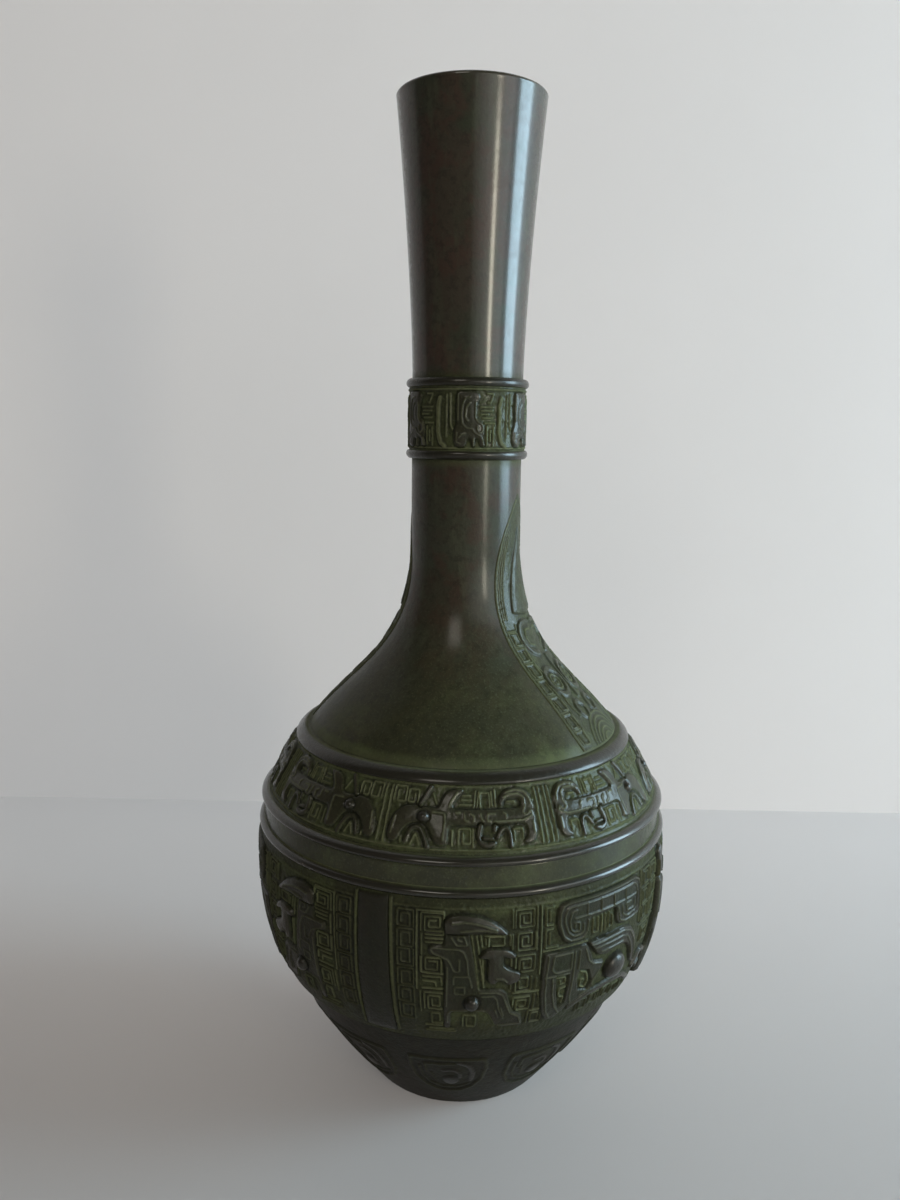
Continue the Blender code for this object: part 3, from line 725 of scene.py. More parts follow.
def frieze_dragon(relief):
    """An upright kui dragon: body and head, crest, eye and the hook beside it."""
    relief.plate(
        [
            (-3.0, 80.4), (2.2, 80.4), (2.5, 75.0), (3.0, 72.0), (4.9, 58.9), (10.6, 58.6), (12.0, 57.4),
            (12.9, 54.2), (14.0, 50.8), (16.4, 49.6), (17.3, 45.6), (10.9, 45.6), (9.5, 47.2), (8.2, 50.4),
            (7.0, 51.8), (-1.4, 51.8), (-2.0, 50.8), (-2.0, 45.6), (-3.4, 45.6), (-3.5, 52.5), (-3.2, 64.6),
            (-3.4, 67.4), (-4.2, 69.0), (-7.2, 69.4), (-7.2, 71.8), (-3.3, 72.2),
        ],
        0.52,
    )
    relief.plate(
        [
            (-3.3, 75.6), (-3.5, 79.0), (-2.6, 80.3), (0.2, 81.0), (4.4, 80.6), (7.6, 79.2), (9.9, 77.4),
            (12.0, 75.0), (9.6, 75.4), (6.0, 75.9), (2.2, 75.6),
        ],
        HIGH_PLATE,
        crown=0.35,
    )
    relief.plate(
        [
            (4.7, 68.7), (6.0, 70.5), (8.4, 71.3), (11.2, 71.0), (12.8, 70.0), (14.1, 68.3), (12.2, 68.3),
            (10.7, 69.0), (10.8, 66.2), (12.0, 65.0), (15.2, 63.5), (14.9, 61.2), (13.4, 60.6), (12.2, 60.1),
            (11.3, 61.6), (9.6, 61.9), (8.8, 60.6), (7.3, 61.3), (7.0, 64.0), (7.2, 68.6),
        ],
        HIGH_PLATE,
        crown=0.30,
    )
    for path in (
        [(-6.6, 71.4), (0.0, 71.2), (1.2, 70.4), (2.0, 68.0), (2.3, 63.8)],
        [(-6.6, 70.9), (-6.2, 69.9), (-2.6, 68.2), (-1.9, 66.8), (-1.2, 64.8), (0.2, 64.8), (0.2, 68.0)],
        [(0.6, 73.6), (-0.4, 73.9), (-0.1, 75.1), (1.2, 75.0), (2.0, 72.4), (-0.6, 72.4), (-1.8, 74.6)],
        [(-1.2, 60.9), (-1.2, 63.2), (2.6, 63.2), (3.2, 60.0)],
        [(1.5, 60.0), (-0.9, 60.0), (-0.9, 57.8), (1.5, 57.8), (1.5, 60.0)],
        [(3.0, 75.2), (4.2, 66.0), (5.0, 59.2)],
        [(5.2, 58.0), (9.4, 57.9), (11.0, 57.0), (12.1, 53.8), (13.3, 50.6), (15.8, 49.0), (16.5, 46.4)],
        [(5.8, 56.8), (8.8, 56.8), (9.6, 55.6), (10.2, 52.4), (11.6, 49.0)],
        [(9.4, 52.0), (10.2, 49.6)],
        [(10.8, 52.6), (11.6, 50.0)],
        [(9.8, 46.4), (16.2, 46.4)],
        [(-2.7, 48.0), (-2.6, 51.0), (-1.8, 52.3), (6.2, 52.2), (7.6, 51.0), (9.6, 46.8)],
        [(-2.7, 66.0), (-2.9, 53.6)],
    ):
        relief.thread(path)
    for path in (
        [(-1.6, 78.7), (1.2, 79.2), (4.0, 78.8), (6.6, 77.9), (8.8, 76.9)],
        [(0.4, 76.6), (4.0, 77.0), (7.0, 76.8), (8.8, 76.4)],
        [(9.2, 62.6), (10.6, 62.6), (11.6, 61.4)],
    ):
        relief.thread(path, 0.62, 0.34)
    relief.dome((3.4, 54.6), 2.1, 2.2, foot=0.5)


def frieze_mask(relief):
    """Half of a taotie mask: horn, cheek, brow, eye, jaw and nose."""
    relief.plate(
        [
            (24.2, 76.0), (24.4, 79.6), (25.4, 81.2), (27.2, 81.7), (51.2, 81.7), (53.4, 80.4), (54.0, 77.6),
            (54.0, 71.0), (53.0, 69.7), (46.6, 69.5), (44.2, 70.2), (43.2, 72.0), (43.2, 75.7),
            (34.0, 75.7), (33.6, 71.8), (32.2, 69.8), (28.0, 69.7), (26.4, 70.5), (25.2, 73.0),
        ],
        0.72,
    )
    for path in (
        [(33.2, 75.2), (33.0, 71.8), (31.8, 70.3), (28.2, 70.3), (26.2, 71.9), (25.0, 75.8), (25.0, 78.8),
         (25.9, 80.7), (27.6, 81.2), (51.0, 81.2), (52.9, 80.0), (53.4, 77.2), (53.4, 71.4), (52.6, 70.3),
         (46.8, 70.1), (44.6, 71.2), (43.8, 75.2)],
        [(31.8, 74.4), (31.8, 72.4), (31.0, 71.5), (28.8, 71.5), (27.3, 73.0), (26.3, 76.0), (26.3, 78.0),
         (27.0, 79.6), (28.4, 80.0), (50.2, 80.0), (51.6, 79.0), (52.1, 76.8), (52.1, 72.6), (51.2, 71.6),
         (47.4, 71.4), (45.6, 72.6), (45.4, 75.2)],
        [(29.2, 76.6), (51.4, 76.6)],
        [(32.9, 76.6), (32.9, 80.2)],
        [(37.4, 76.6), (37.4, 80.2)],
        [(42.0, 76.6), (42.0, 80.2)],
        [(46.6, 76.6), (46.6, 80.2)],
        [(29.6, 78.8), (28.2, 78.4), (27.6, 76.2), (28.0, 73.6), (29.0, 72.7), (30.5, 72.8), (30.5, 75.2),
         (29.2, 75.4), (29.2, 74.0)],
        [(50.8, 75.4), (50.8, 73.0), (47.6, 72.8), (46.9, 75.2), (49.2, 75.2)],
    ):
        relief.thread(path)
    relief.plate(
        [
            (21.3, 67.8), (33.4, 67.9), (34.4, 66.0), (36.2, 61.4), (40.4, 60.2), (39.2, 57.2), (37.2, 54.2),
            (37.4, 52.6), (33.0, 50.2), (29.4, 48.2), (26.4, 45.4), (24.0, 45.5), (22.3, 48.8), (21.1, 55.0),
            (20.9, 62.0),
        ],
        0.62,
    )
    relief.plate(
        [
            (34.0, 68.0), (46.8, 68.2), (50.4, 66.9), (52.8, 63.4), (54.4, 58.6), (55.6, 52.6), (53.2, 54.6),
            (51.0, 60.0), (48.6, 62.6), (44.0, 63.2), (40.6, 62.2), (37.4, 63.2), (35.4, 66.0),
        ],
        0.80,
        crown=0.1,
    )
    relief.sink([(24.9, 60.4), (28.6, 60.2), (28.9, 57.4), (28.6, 50.4), (26.8, 49.4), (25.6, 54.6)])
    relief.sink([(32.0, 60.4), (35.0, 59.4), (36.6, 55.4), (35.6, 52.6), (32.4, 53.4), (31.5, 57.2)])
    for path in (
        [(25.4, 59.4), (27.8, 59.2), (28.0, 57.2), (26.4, 57.0), (26.4, 58.2)],
        [(28.2, 55.8), (26.4, 55.4), (26.6, 53.0), (28.2, 52.6), (27.8, 50.6)],
        [(32.6, 59.4), (34.4, 58.6), (35.4, 55.6), (34.6, 53.6), (33.0, 54.4), (33.0, 56.8), (34.0, 56.4)],
    ):
        relief.line(path)
    for path in (
        [(29.0, 66.6), (23.9, 66.6), (23.5, 62.6), (24.6, 61.4), (29.0, 61.4), (29.0, 66.6)],
        [(22.4, 67.0), (22.0, 61.0), (22.3, 54.6), (23.4, 48.8), (24.8, 46.4)],
        [(21.8, 60.5), (28.6, 60.3)],
        [(24.0, 59.6), (24.4, 54.6), (25.6, 50.2), (27.4, 47.4)],
        [(29.9, 66.6), (29.9, 52.0), (30.6, 49.8)],
        [(31.3, 66.6), (31.3, 61.0)],
        [(33.2, 66.4), (34.4, 62.6), (36.2, 60.8), (39.4, 60.0)],
        [(34.9, 67.0), (46.8, 67.2), (49.8, 65.9), (51.9, 62.8), (53.6, 58.2), (54.6, 54.6)],
        [(36.2, 65.6), (46.2, 65.8), (48.6, 64.8), (50.8, 61.4), (52.4, 57.4)],
        [(38.4, 63.9), (46.8, 64.1)],
        [(33.2, 51.6), (37.0, 53.0), (36.8, 54.8), (38.6, 58.0)],
    ):
        relief.thread(path)
    relief.dome((45.0, 56.8), 3.9, 2.5, squash=1.12, foot=0.6)
    relief.bar([(30.6, 48.0), (36.4, 50.7), (45.0, 51.6), (51.6, 50.4), (56.4, 47.0)], 1.6, 0.7)
    relief.bar([(56.6, 50.8), (60.0, 54.4), (63.4, 53.4), (63.6, 50.0), (60.8, 48.6)], 1.6, 0.9)
    relief.bar([(68.7, 82.0), (68.7, 70.0)], 4.2, 1.4, 0.8)
    relief.plate(
        [
            (69.6, 76.0), (66.3, 74.0), (66.0, 60.0), (65.2, 54.0), (62.4, 49.4), (62.0, 45.6), (64.4, 44.2),
            (69.6, 44.8),
        ],
        1.15,
        0.8,
        crown=0.7,
    )
    relief.groove([(66.6, 58.0), (66.2, 52.6), (63.8, 48.4), (64.2, 46.2), (66.0, 46.4)], 0.7, 0.5)
    relief.thread([(67.0, 79.8), (67.0, 62.0)], 0.6)


def frieze_bar(relief):
    """Half of a plain upright bar with a thin raised line at its edge."""
    left = FRIEZE_START - 1
    right = FRIEZE_START + 3.9
    relief.plate([(left, 84.4), (right, 84.4), (right + 0.5, 42.0), (left, 42.0)], 0.47, crown=0.12)
    relief.stain = 0.5 * relief.plates * (relief.across < (right + 1.0 - FRIEZE_START) * FRIEZE_SCALE)
    relief.line([(right + 0.7, 84.2), (right + 1.2, 42.6)], 0.95, 0.55)


def make_frieze():
    section = Section()
    heights = steps(BOWL_SEAM + SEAM_GAP, BELLY_SEAM - SEAM_GAP, FRIEZE_ROWS - 1)
    section.follow(belly_curve, heights)
    section.socket(BELLY_TOP_RADIUS - BODY_WALL, BELLY_SEAM)
    section.inside(belly_curve, BODY_WALL, (0.6, 0.36, 0.14))
    section.spigot(bowl_bore() - GAP, BOWL_SEAM)
    across = np.linspace(0, 90, FRIEZE_COLUMNS + 1) * FRIEZE_SCALE
    relief = Relief(across, heights, FRIEZE_SCALE, FRIEZE_START)
    frieze_bar(relief)
    frieze_ground(relief)
    frieze_dragon(relief)
    frieze_mask(relief)
    relief.cast(11, 0.07)
    relief.fade(BOWL_SEAM + 0.5, BELLY_SEAM - 0.4)
    ground = 0.14 + relief.patches(
        (
            (-13.0, 62.0, 2.6, 30.0, -0.35), (20.0, 43.5, 60.0, 4.0, -0.25), (-4.5, 80.5, 2.6, 3.0, 0.35),
            (7.0, 73.0, 3.2, 3.0, 0.40), (6.0, 64.0, 2.4, 5.0, 0.40), (22.5, 75.0, 2.4, 6.0, 0.35),
            (38.0, 72.0, 5.0, 3.0, 0.35), (-6.0, 61.0, 3.0, 2.5, 0.30), (14.5, 53.0, 2.4, 3.0, 0.30),
            (34.0, 57.0, 3.0, 4.0, 0.25), (10.0, 81.5, 9.0, 1.6, 0.35), (-3.0, 71.0, 4.0, 3.0, 0.15),
        )
    )
    height, fields = patina(relief, ground, False)
    pieces = []
    for index, side in enumerate(("front_right", "front_left", "back_left", "back_right")):
        start = 90.0 * (1 - index)
        turns = np.linspace(start, start - 90.0, FRIEZE_COLUMNS + 1)
        order = slice(None) if index % 2 == 0 else slice(None, None, -1)
        placed = (height[:, order], [field[:, order] for field in fields])
        pieces.append(carved("frieze_" + side, section, turns, placed))
    return pieces


# Dragon band: eight kui dragons, heads meeting at every quarter turn. Angles are from the line of sight.

BAND_START = -21.3
BAND_SCALE = math.radians(56.0)
BAND_COLUMNS = 168
BAND_ROWS = 62
BAND_HEAD = 112.0


def band_ground(relief):
    """The band's border lines, and the spirals and lines between the dragons."""
    coils(
        relief,
        (
            (-17.6, 109.2, 3.4, 3.4, 1, 1), (-13.6, 109.0, 2.8, 3.0, -1, 1), (6.6, 108.6, 2.6, 3.2, 1, 1),
            (1.0, 100.4, 3.0, 3.4, 1, 1), (15.2, 100.4, 2.4, 2.8, -1, 1),
        ),
        width=0.42, height=0.36,
    )
    for path in (
        [(-21.3, 111.7), (23.7, 111.7)],
        [(-21.3, 97.1), (23.7, 97.1)],
        [(-20.4, 110.8), (-20.4, 97.8)],
        [(-8.0, 109.8), (-6.8, 107.6)],
        [(0.4, 109.6), (2.6, 109.6)],
        [(0.2, 108.6), (2.8, 108.6)],
        [(-0.4, 107.5), (3.0, 107.5)],
        [(4.1, 110.6), (3.5, 107.0)],
        [(5.0, 110.4), (4.4, 107.0)],
        [(8.6, 110.4), (8.6, 107.2)],
        [(9.6, 110.8), (9.6, 107.2)],
        [(3.2, 102.0), (3.2, 98.0)],
        [(4.0, 102.0), (4.0, 99.0)],
        [(-2.2, 101.6), (-2.2, 98.2)],
        [(12.6, 108.0), (15.2, 108.0)],
        [(21.6, 110.6), (21.6, 98.0)],
        [(22.9, 110.6), (22.9, 98.0)],
        [(-12.9, 98.0), (-11.8, 100.6), (-10.6, 98.0)],
        [(-17.0, 102.6), (-15.6, 98.2)],
    ):
        relief.line(path, 0.42, 0.36)


def band_dragon(relief):
    """A walking kui dragon with plumes and a curled tail."""
    relief.plate(
        [
            (-17.2, 105.4), (-15.6, 106.6), (-12.6, 106.9), (-8.2, 106.5), (-6.4, 106.7), (-5.9, 107.4),
            (-5.2, 109.1), (-4.0, 110.3), (-2.4, 110.9), (0.9, 111.0), (-0.6, 109.6), (-1.8, 108.2),
            (-2.5, 106.9), (-1.8, 106.4), (16.0, 106.4), (16.9, 106.9), (16.9, 108.1), (16.2, 108.8),
            (13.4, 108.8), (12.1, 108.3), (11.4, 107.0), (10.5, 107.1), (10.6, 108.6), (11.6, 110.0),
            (13.2, 110.8), (15.4, 111.1), (17.6, 110.8), (19.4, 109.8), (20.3, 108.0), (20.5, 101.0),
            (19.9, 99.1), (18.6, 98.2), (16.4, 98.3), (16.6, 99.1), (17.7, 99.7), (18.0, 101.4),
            (17.4, 102.8), (16.2, 103.0), (-2.4, 102.9), (-3.4, 102.2), (-3.4, 98.4), (-5.2, 98.0),
            (-6.8, 98.8), (-7.7, 100.6), (-8.7, 102.2), (-10.4, 103.2), (-12.8, 103.1), (-14.8, 102.0),
            (-15.8, 100.6), (-16.6, 98.4), (-18.9, 98.2), (-19.4, 99.8), (-18.9, 102.8), (-18.2, 104.4),
        ],
        0.62,
        crown=0.12,
    )
    for width, height, path in (
        (1.00, 0.62, [(-11.3, 107.2), (-8.8, 111.2)]),
        (0.95, 0.60, [(-14.3, 98.4), (-13.5, 101.2), (-12.2, 102.1), (-10.6, 101.9), (-9.2, 99.8),
                      (-8.5, 97.6)]),
        (1.10, 0.62, [(9.0, 102.4), (8.9, 101.6)]),
        (1.25, 0.66, [(5.2, 102.6), (4.6, 100.6), (5.2, 98.9), (6.8, 98.1), (8.4, 98.7)]),
        (0.80, 0.55, [(6.0, 100.0), (8.2, 99.8)]),
        (0.95, 0.60, [(9.6, 99.9), (10.5, 101.6), (11.8, 102.3), (12.9, 101.4), (13.0, 97.9)]),
    ):
        relief.bar(path, width, height)
    for path in (
        [(0.9, 105.5), (1.0, 104.0), (2.0, 103.7)],
        [(2.6, 105.4), (3.6, 104.9), (3.4, 103.7)],
        [(5.3, 105.4), (5.5, 104.3), (6.0, 103.7)],
        [(7.9, 103.7), (7.1, 103.7), (7.1, 105.3), (9.2, 105.3)],
        [(11.6, 105.5), (12.3, 105.2), (12.2, 104.2)],
        [(8.8, 103.6), (17.0, 103.6), (19.8, 104.6), (19.2, 105.6), (18.0, 104.6), (16.9, 105.2),
         (17.8, 106.8), (17.8, 108.6), (16.4, 109.6), (13.4, 109.5), (12.0, 108.9)],
        [(19.6, 107.0), (19.3, 108.6), (17.8, 110.1), (15.2, 110.5), (12.8, 110.0)],
        [(-1.4, 105.6), (-0.2, 105.6)],
        [(19.6, 103.0), (19.6, 100.4)],
        [(-1.0, 110.2), (-2.6, 108.4), (-3.3, 106.9)],
        [(-17.9, 104.0), (-18.4, 100.0)],
        [(-7.6, 105.6), (-4.4, 105.4), (-4.2, 103.6), (-4.6, 99.4)],
    ):
        relief.thread(path, 0.42, 0.22)
    relief.dome((-10.2, 104.4), 1.35, 1.6, squash=1.15, foot=0.4)


def make_dragon_band():
    section = Section()
    heights = steps(WAIST_SEAM + SEAM_GAP, BAND_HEAD, BAND_ROWS - 1)
    section.follow(band_curve, heights)
    ground_head = band_curve(rise_at(band_curve, BAND_HEAD))
    bead_head = (BAND_TOP_RADIUS - 0.6, SHOULDER_SEAM - SEAM_GAP)
    section.bead(ground_head, bead_head, 1.2)
    section.socket(SHOULDER_RADIUS - SHOULDER_REBATE + GAP, SHOULDER_SEAM)
    section.inside(band_curve, BODY_WALL, (0.42,))
    section.spigot(BAND_RADIUS - BODY_WALL - GAP, WAIST_SEAM)
    across = np.linspace(0, 45, BAND_COLUMNS + 1) * BAND_SCALE
    relief = Relief(across, heights, BAND_SCALE, BAND_START)
    band_ground(relief)
    band_dragon(relief)
    relief.cast(12, 0.09)
    relief.fade(WAIST_SEAM + 0.3, BAND_HEAD)
    height, fields = patina(relief.spread(mirrored), 0.58, True, 0.95)
    pieces = []
    for side, start in (("front", -90), ("back", 90)):
        turns = np.linspace(start, start + 180, 4 * BAND_COLUMNS + 1)
        placed = (repeated(height, 2), [repeated(field, 2) for field in fields])
        pieces.append(carved("kui_dragon_band_" + side, section, turns, placed))
    return pieces


# Collar: six cells, each with a kui scroll between two beads

COLLAR_START = -32.5
COLLAR_SCALE = math.radians(COLLAR_RADIUS)
COLLAR_CELLS = 6
COLLAR_COLUMNS = 84
COLLAR_ROWS = 82


def draw_collar(relief):
    """One cell of the collar: its border lines, the ground's lines and the scroll."""
    for path in (
        [(-32.5, 217.0), (27.5, 217.0)],
        [(-32.5, 200.4), (27.5, 200.4)],
        [(-19.6, 215.4), (-20.0, 203.6)],
        [(-16.2, 215.8), (-15.8, 206.8), (-12.4, 205.2)],
        [(12.6, 212.0), (24.6, 212.0)],
        [(13.6, 211.0), (24.0, 211.0)],
        [(13.0, 210.0), (20.0, 210.0)],
        [(14.6, 209.0), (24.6, 209.0)],
        [(15.4, 207.5), (26.6, 207.5)],
        [(18.8, 206.6), (18.8, 201.4)],
        [(22.2, 205.4), (22.2, 202.4)],
        [(25.2, 206.2), (25.2, 201.2)],
        [(19.0, 215.8), (25.4, 215.8), (21.6, 213.0), (19.8, 213.4)],
    ):
        relief.line(path, 0.5, 0.36)
    relief.line([(-26.6, 214.6), (-28.2, 212.6), (-28.4, 205.0), (-26.0, 202.0), (-21.6, 200.9)], 1.2, 0.5)
    relief.plate(
        [
            (-9.4, 216.4), (8.4, 216.4), (12.4, 215.0), (9.0, 212.8), (8.4, 208.9), (13.4, 208.4),
            (16.4, 206.2), (15.8, 204.2), (14.6, 203.2), (17.4, 200.9), (12.0, 200.9), (11.4, 203.2),
            (7.6, 203.4), (7.0, 200.8), (4.6, 200.8), (3.8, 203.0), (0.4, 203.4), (-1.6, 200.8),
            (-10.0, 200.8), (-12.8, 202.6), (-12.2, 205.6), (-9.6, 207.2), (-10.6, 212.0),
        ],
        0.60,
        0.3,
        crown=0.2,
    )
    for path in (
        [(2.4, 214.8), (-1.8, 214.6), (-4.4, 212.6), (-5.2, 209.6), (-4.2, 207.2), (-0.6, 206.1),
         (4.8, 206.0), (6.2, 205.0), (9.0, 204.4), (12.6, 203.8)],
        [(2.4, 213.2), (-1.2, 211.8), (-1.6, 209.0), (0.4, 208.2)],
        [(7.6, 213.4), (7.6, 208.9), (10.0, 207.8), (14.0, 207.2), (14.9, 205.6), (11.8, 204.6),
         (9.4, 205.4), (9.4, 206.6)],
        [(-7.6, 203.4), (-4.8, 204.4), (-1.8, 204.6)],
        [(-9.6, 204.8), (-9.8, 202.0), (-6.0, 201.6)],
        [(6.0, 203.0), (6.0, 201.2)],
        [(14.0, 203.2), (15.6, 201.2)],
        [(-8.6, 215.4), (-8.4, 208.4)],
    ):
        relief.thread(path, 0.42, 0.22)


def make_collar():
    section = Section()
    low = COLLAR_SEAM + SEAM_GAP
    high = UPPER_SEAM - SEAM_GAP
    edge = COLLAR_RADIUS - 0.3
    proud = 1.1
    section.bead((edge, low), (COLLAR_RADIUS, low + BEAD_WIDTH), proud)
    heights = steps(low + BEAD_WIDTH, high - BEAD_WIDTH, COLLAR_ROWS + 1)[1:-1]
    section.follow(collar_curve, heights)
    section.bead((COLLAR_RADIUS, high - BEAD_WIDTH), (edge, high), proud)
    bore = NECK_RADIUS - NECK_REBATE + GAP
    section.add([(bore, high), (bore, low)])
    across = np.linspace(0, 360 / COLLAR_CELLS, COLLAR_COLUMNS + 1) * COLLAR_SCALE
    relief = Relief(across, heights, COLLAR_SCALE, COLLAR_START)
    draw_collar(relief)
    relief.cast(13, 0.06)
    ring = relief.spread(lambda field: repeated(field, COLLAR_CELLS))
    start = COLLAR_START + VIEW_TURN
    turns = np.linspace(start, start + 360, COLLAR_CELLS * COLLAR_COLUMNS + 1)
    return carved("scroll_collar", section, turns, patina(ring, 0.35, True))


# Foot bowl: ten hanging lappets on a plain bowl

LAPPETS = 10
LAPPET_SPAN = 360.0 / LAPPETS
LAPPET_START = -LAPPET_SPAN / 2
LAPPET_SCALE = math.radians(43.0)
LAPPET_COLUMNS = 72
BOWL_ROWS = 108

# The foot's rim and the base plate in it, in millimetres
RIM_WIDTH = 3.6
RIM_EDGE = 0.6
PLATE_FOOT = 4.0
PLATE_THICKNESS = 2.5
PLATE_SEAT = 3.0


def make_bowl():
    section = Section()
    heights = steps(RIM_EDGE, BOWL_SEAM - SEAM_GAP, BOWL_ROWS - 1)
    section.follow(bowl_curve, heights)
    section.socket(bowl_bore(), BOWL_SEAM)
    section.inside(bowl_curve, BODY_WALL, (0.52, 0.32))
    recess = FOOT_RADIUS - RIM_WIDTH
    bore = recess - PLATE_SEAT
    seat = PLATE_FOOT + PLATE_THICKNESS + GAP
    section.add([(bore, seat + 1.25), (bore, seat), (recess, seat), (recess, RIM_EDGE)], green=0.3)
    section.add([(recess + 0.2, 0.2), (recess + RIM_EDGE, 0.0), (FOOT_RADIUS - RIM_EDGE, 0.0)], worn=0.5)
    section.add([(FOOT_RADIUS - 0.15, 0.25)], worn=0.6)
    across = np.linspace(0, LAPPET_SPAN, LAPPET_COLUMNS + 1) * LAPPET_SCALE
    relief = Relief(across, heights, LAPPET_SCALE, LAPPET_START)
    draw_lappet(relief)
    relief.cast(14, 0.02)
    seam_groove = smooth_step((relief.up - (BOWL_SEAM - 1.2)) / 0.4)
    relief.height -= 0.45 * seam_groove[:, None]
    ring = relief.spread(lambda field: repeated(field, LAPPETS))
    turns = np.linspace(LAPPET_START, LAPPET_START + 360, LAPPETS * LAPPET_COLUMNS + 1)
    return carved("lappet_bowl", section, turns, patina(ring, -0.42, True, 0.35))


def draw_lappet(relief):
    """A hanging tongue with a raised rim, an inner line and two curls round a boss."""
    rim = [(-13.0, 28.8), (-13.8, 24.0), (-13.2, 18.0), (-10.4, 13.6), (-5.6, 10.9), (0.0, 10.2)]
    rim = rim + [(-x, y) for x, y in rim[-2::-1]]
    inner = [(-10.6, 24.0), (-10.4, 19.0), (-8.0, 15.2), (-3.0, 12.9), (3.0, 12.8), (8.0, 14.6)]
    relief.line(rim, 1.1, 0.42, closed=True)
    relief.line([(-8.2, 21.2), (-8.4, 25.8), (3.6, 26.6)], 0.9, 0.36)
    relief.bar([(4.0, 27.2), (7.8, 25.6), (9.4, 21.6), (9.0, 17.4)], 1.4, 0.34)
    relief.bar([(-1.6, 22.6), (2.2, 23.2), (4.8, 21.0), (4.4, 18.6)], 1.1, 0.28)
    relief.line(inner, 0.8, 0.3)
    relief.line([(-6.6, 20.6), (-5.2, 16.4)], 0.7, 0.28)
    relief.dome((0.9, 17.2), 2.5, 0.65, foot=0.3)


# Plain turned castings


def make_waist():
    section = Section()
    low = BELLY_SEAM + SEAM_GAP
    high = WAIST_SEAM - SEAM_GAP
    section.bead((WAIST_RADIUS, low), (WAIST_RADIUS - 0.2, low + BEAD_WIDTH), 1.6)
    band_foot = low + BEAD_WIDTH
    band_head = high - BEAD_WIDTH
    shares = steps(0.06, 0.94, 14)
    band = [(WAIST_RADIUS - 0.2 - 0.5 * share, mix(band_foot, band_head, share)) for share in shares]
    section.add(band, green=0.66)
    section.bead((BAND_RADIUS + 0.9, band_head), (BAND_RADIUS, high), 1.9)
    section.socket(BAND_RADIUS - BODY_WALL, WAIST_SEAM)
    section.spigot(BELLY_TOP_RADIUS - BODY_WALL - GAP, BELLY_SEAM)
    return spun("beaded_waist", section, 288)


def shade_ground(section, shade):
    """Give the ground of a plain casting the marks that a function has for its height."""
    for index in range(section.ground.start, section.ground.stop):
        section.marks[index] = shade(section.rows[index][1])


def make_shoulder():
    section = Section()
    spigot = NECK_RADIUS - NECK_REBATE
    bore = NECK_RADIUS - NECK_WALL
    section.follow(shoulder_curve, steps(SHOULDER_SEAM + SEAM_GAP, COLLAR_SEAM - SEAM_GAP, 150))

    def shade(height):
        groove = max(0.0, 1 - (height - SHOULDER_SEAM) / 3.0) + max(0.0, 1 - (COLLAR_SEAM - height) / 2.5)
        low = 0.66 * float(smooth_step(1 - (height - SHOULDER_SEAM - 8.0) / 42.0))
        return min(1.0, 0.8 * groove + low), 0.0, 0.3 * groove, 0.0

    shade_ground(section, shade)
    top = COLLAR_SEAM + NECK_LAP_DEPTH
    section.add([(spigot, COLLAR_SEAM - SEAM_GAP), (spigot, top), (bore, top)])
    section.inside(shoulder_curve, NECK_WALL, (1.0, 0.8, 0.6, 0.4, 0.2))
    section.spigot(SHOULDER_RADIUS - SHOULDER_REBATE, SHOULDER_SEAM)
    return spun("swept_shoulder", section, 256)


def make_mouth():
    section = Section()
    edge = 1.2
    bore = NECK_RADIUS - NECK_WALL
    spigot = NECK_RADIUS - NECK_REBATE
    section.follow(upper_neck_curve, steps(UPPER_SEAM + SEAM_GAP, MOUTH - edge, 90))
    shade_ground(section, lambda height: (max(0.0, 0.8 * (1 - (height - UPPER_SEAM) / 2.2)), 0.0, 0.0, 0.0))
    lip = []
    for step in range(1, 10):
        angle = math.pi * step / 10
        lip.append((MOUTH_RADIUS - edge * (1 - math.cos(angle)), MOUTH - edge * (1 - math.sin(angle))))
    section.add(lip, green=0.15, worn=0.4)
    section.inside(upper_neck_curve, MOUTH_WALL, (0.98, 0.85, 0.7, 0.5, 0.3))
    foot = UPPER_SEAM - NECK_LAP_DEPTH
    section.add([(bore, UPPER_SEAM), (bore, foot), (spigot, foot), (spigot, UPPER_SEAM + SEAM_GAP)])
    return spun("flared_mouth", section, 192)


# Blade panels: upright leaves on the shoulder, each a grid in the blade's own outline

BLADE_FOOT = 115.5
BLADE_TIP = 187.0
BLADE_OUTLINE = (
    (115.0, 18.2), (120.0, 17.9), (124.0, 16.9), (128.0, 15.9), (132.0, 15.1), (136.0, 14.6), (140.0, 14.1),
    (148.0, 13.4), (156.0, 12.4), (160.0, 11.7), (164.0, 11.0), (168.0, 10.1), (172.0, 9.0), (176.0, 7.5),
    (180.0, 5.4), (184.0, 3.0), (186.0, 1.4), (187.0, 0.6),
)
BLADE_REACH = 19.0
BLADE_THICKNESS = 0.6
BLADE_COLUMNS = 132
BLADE_ROWS = 280


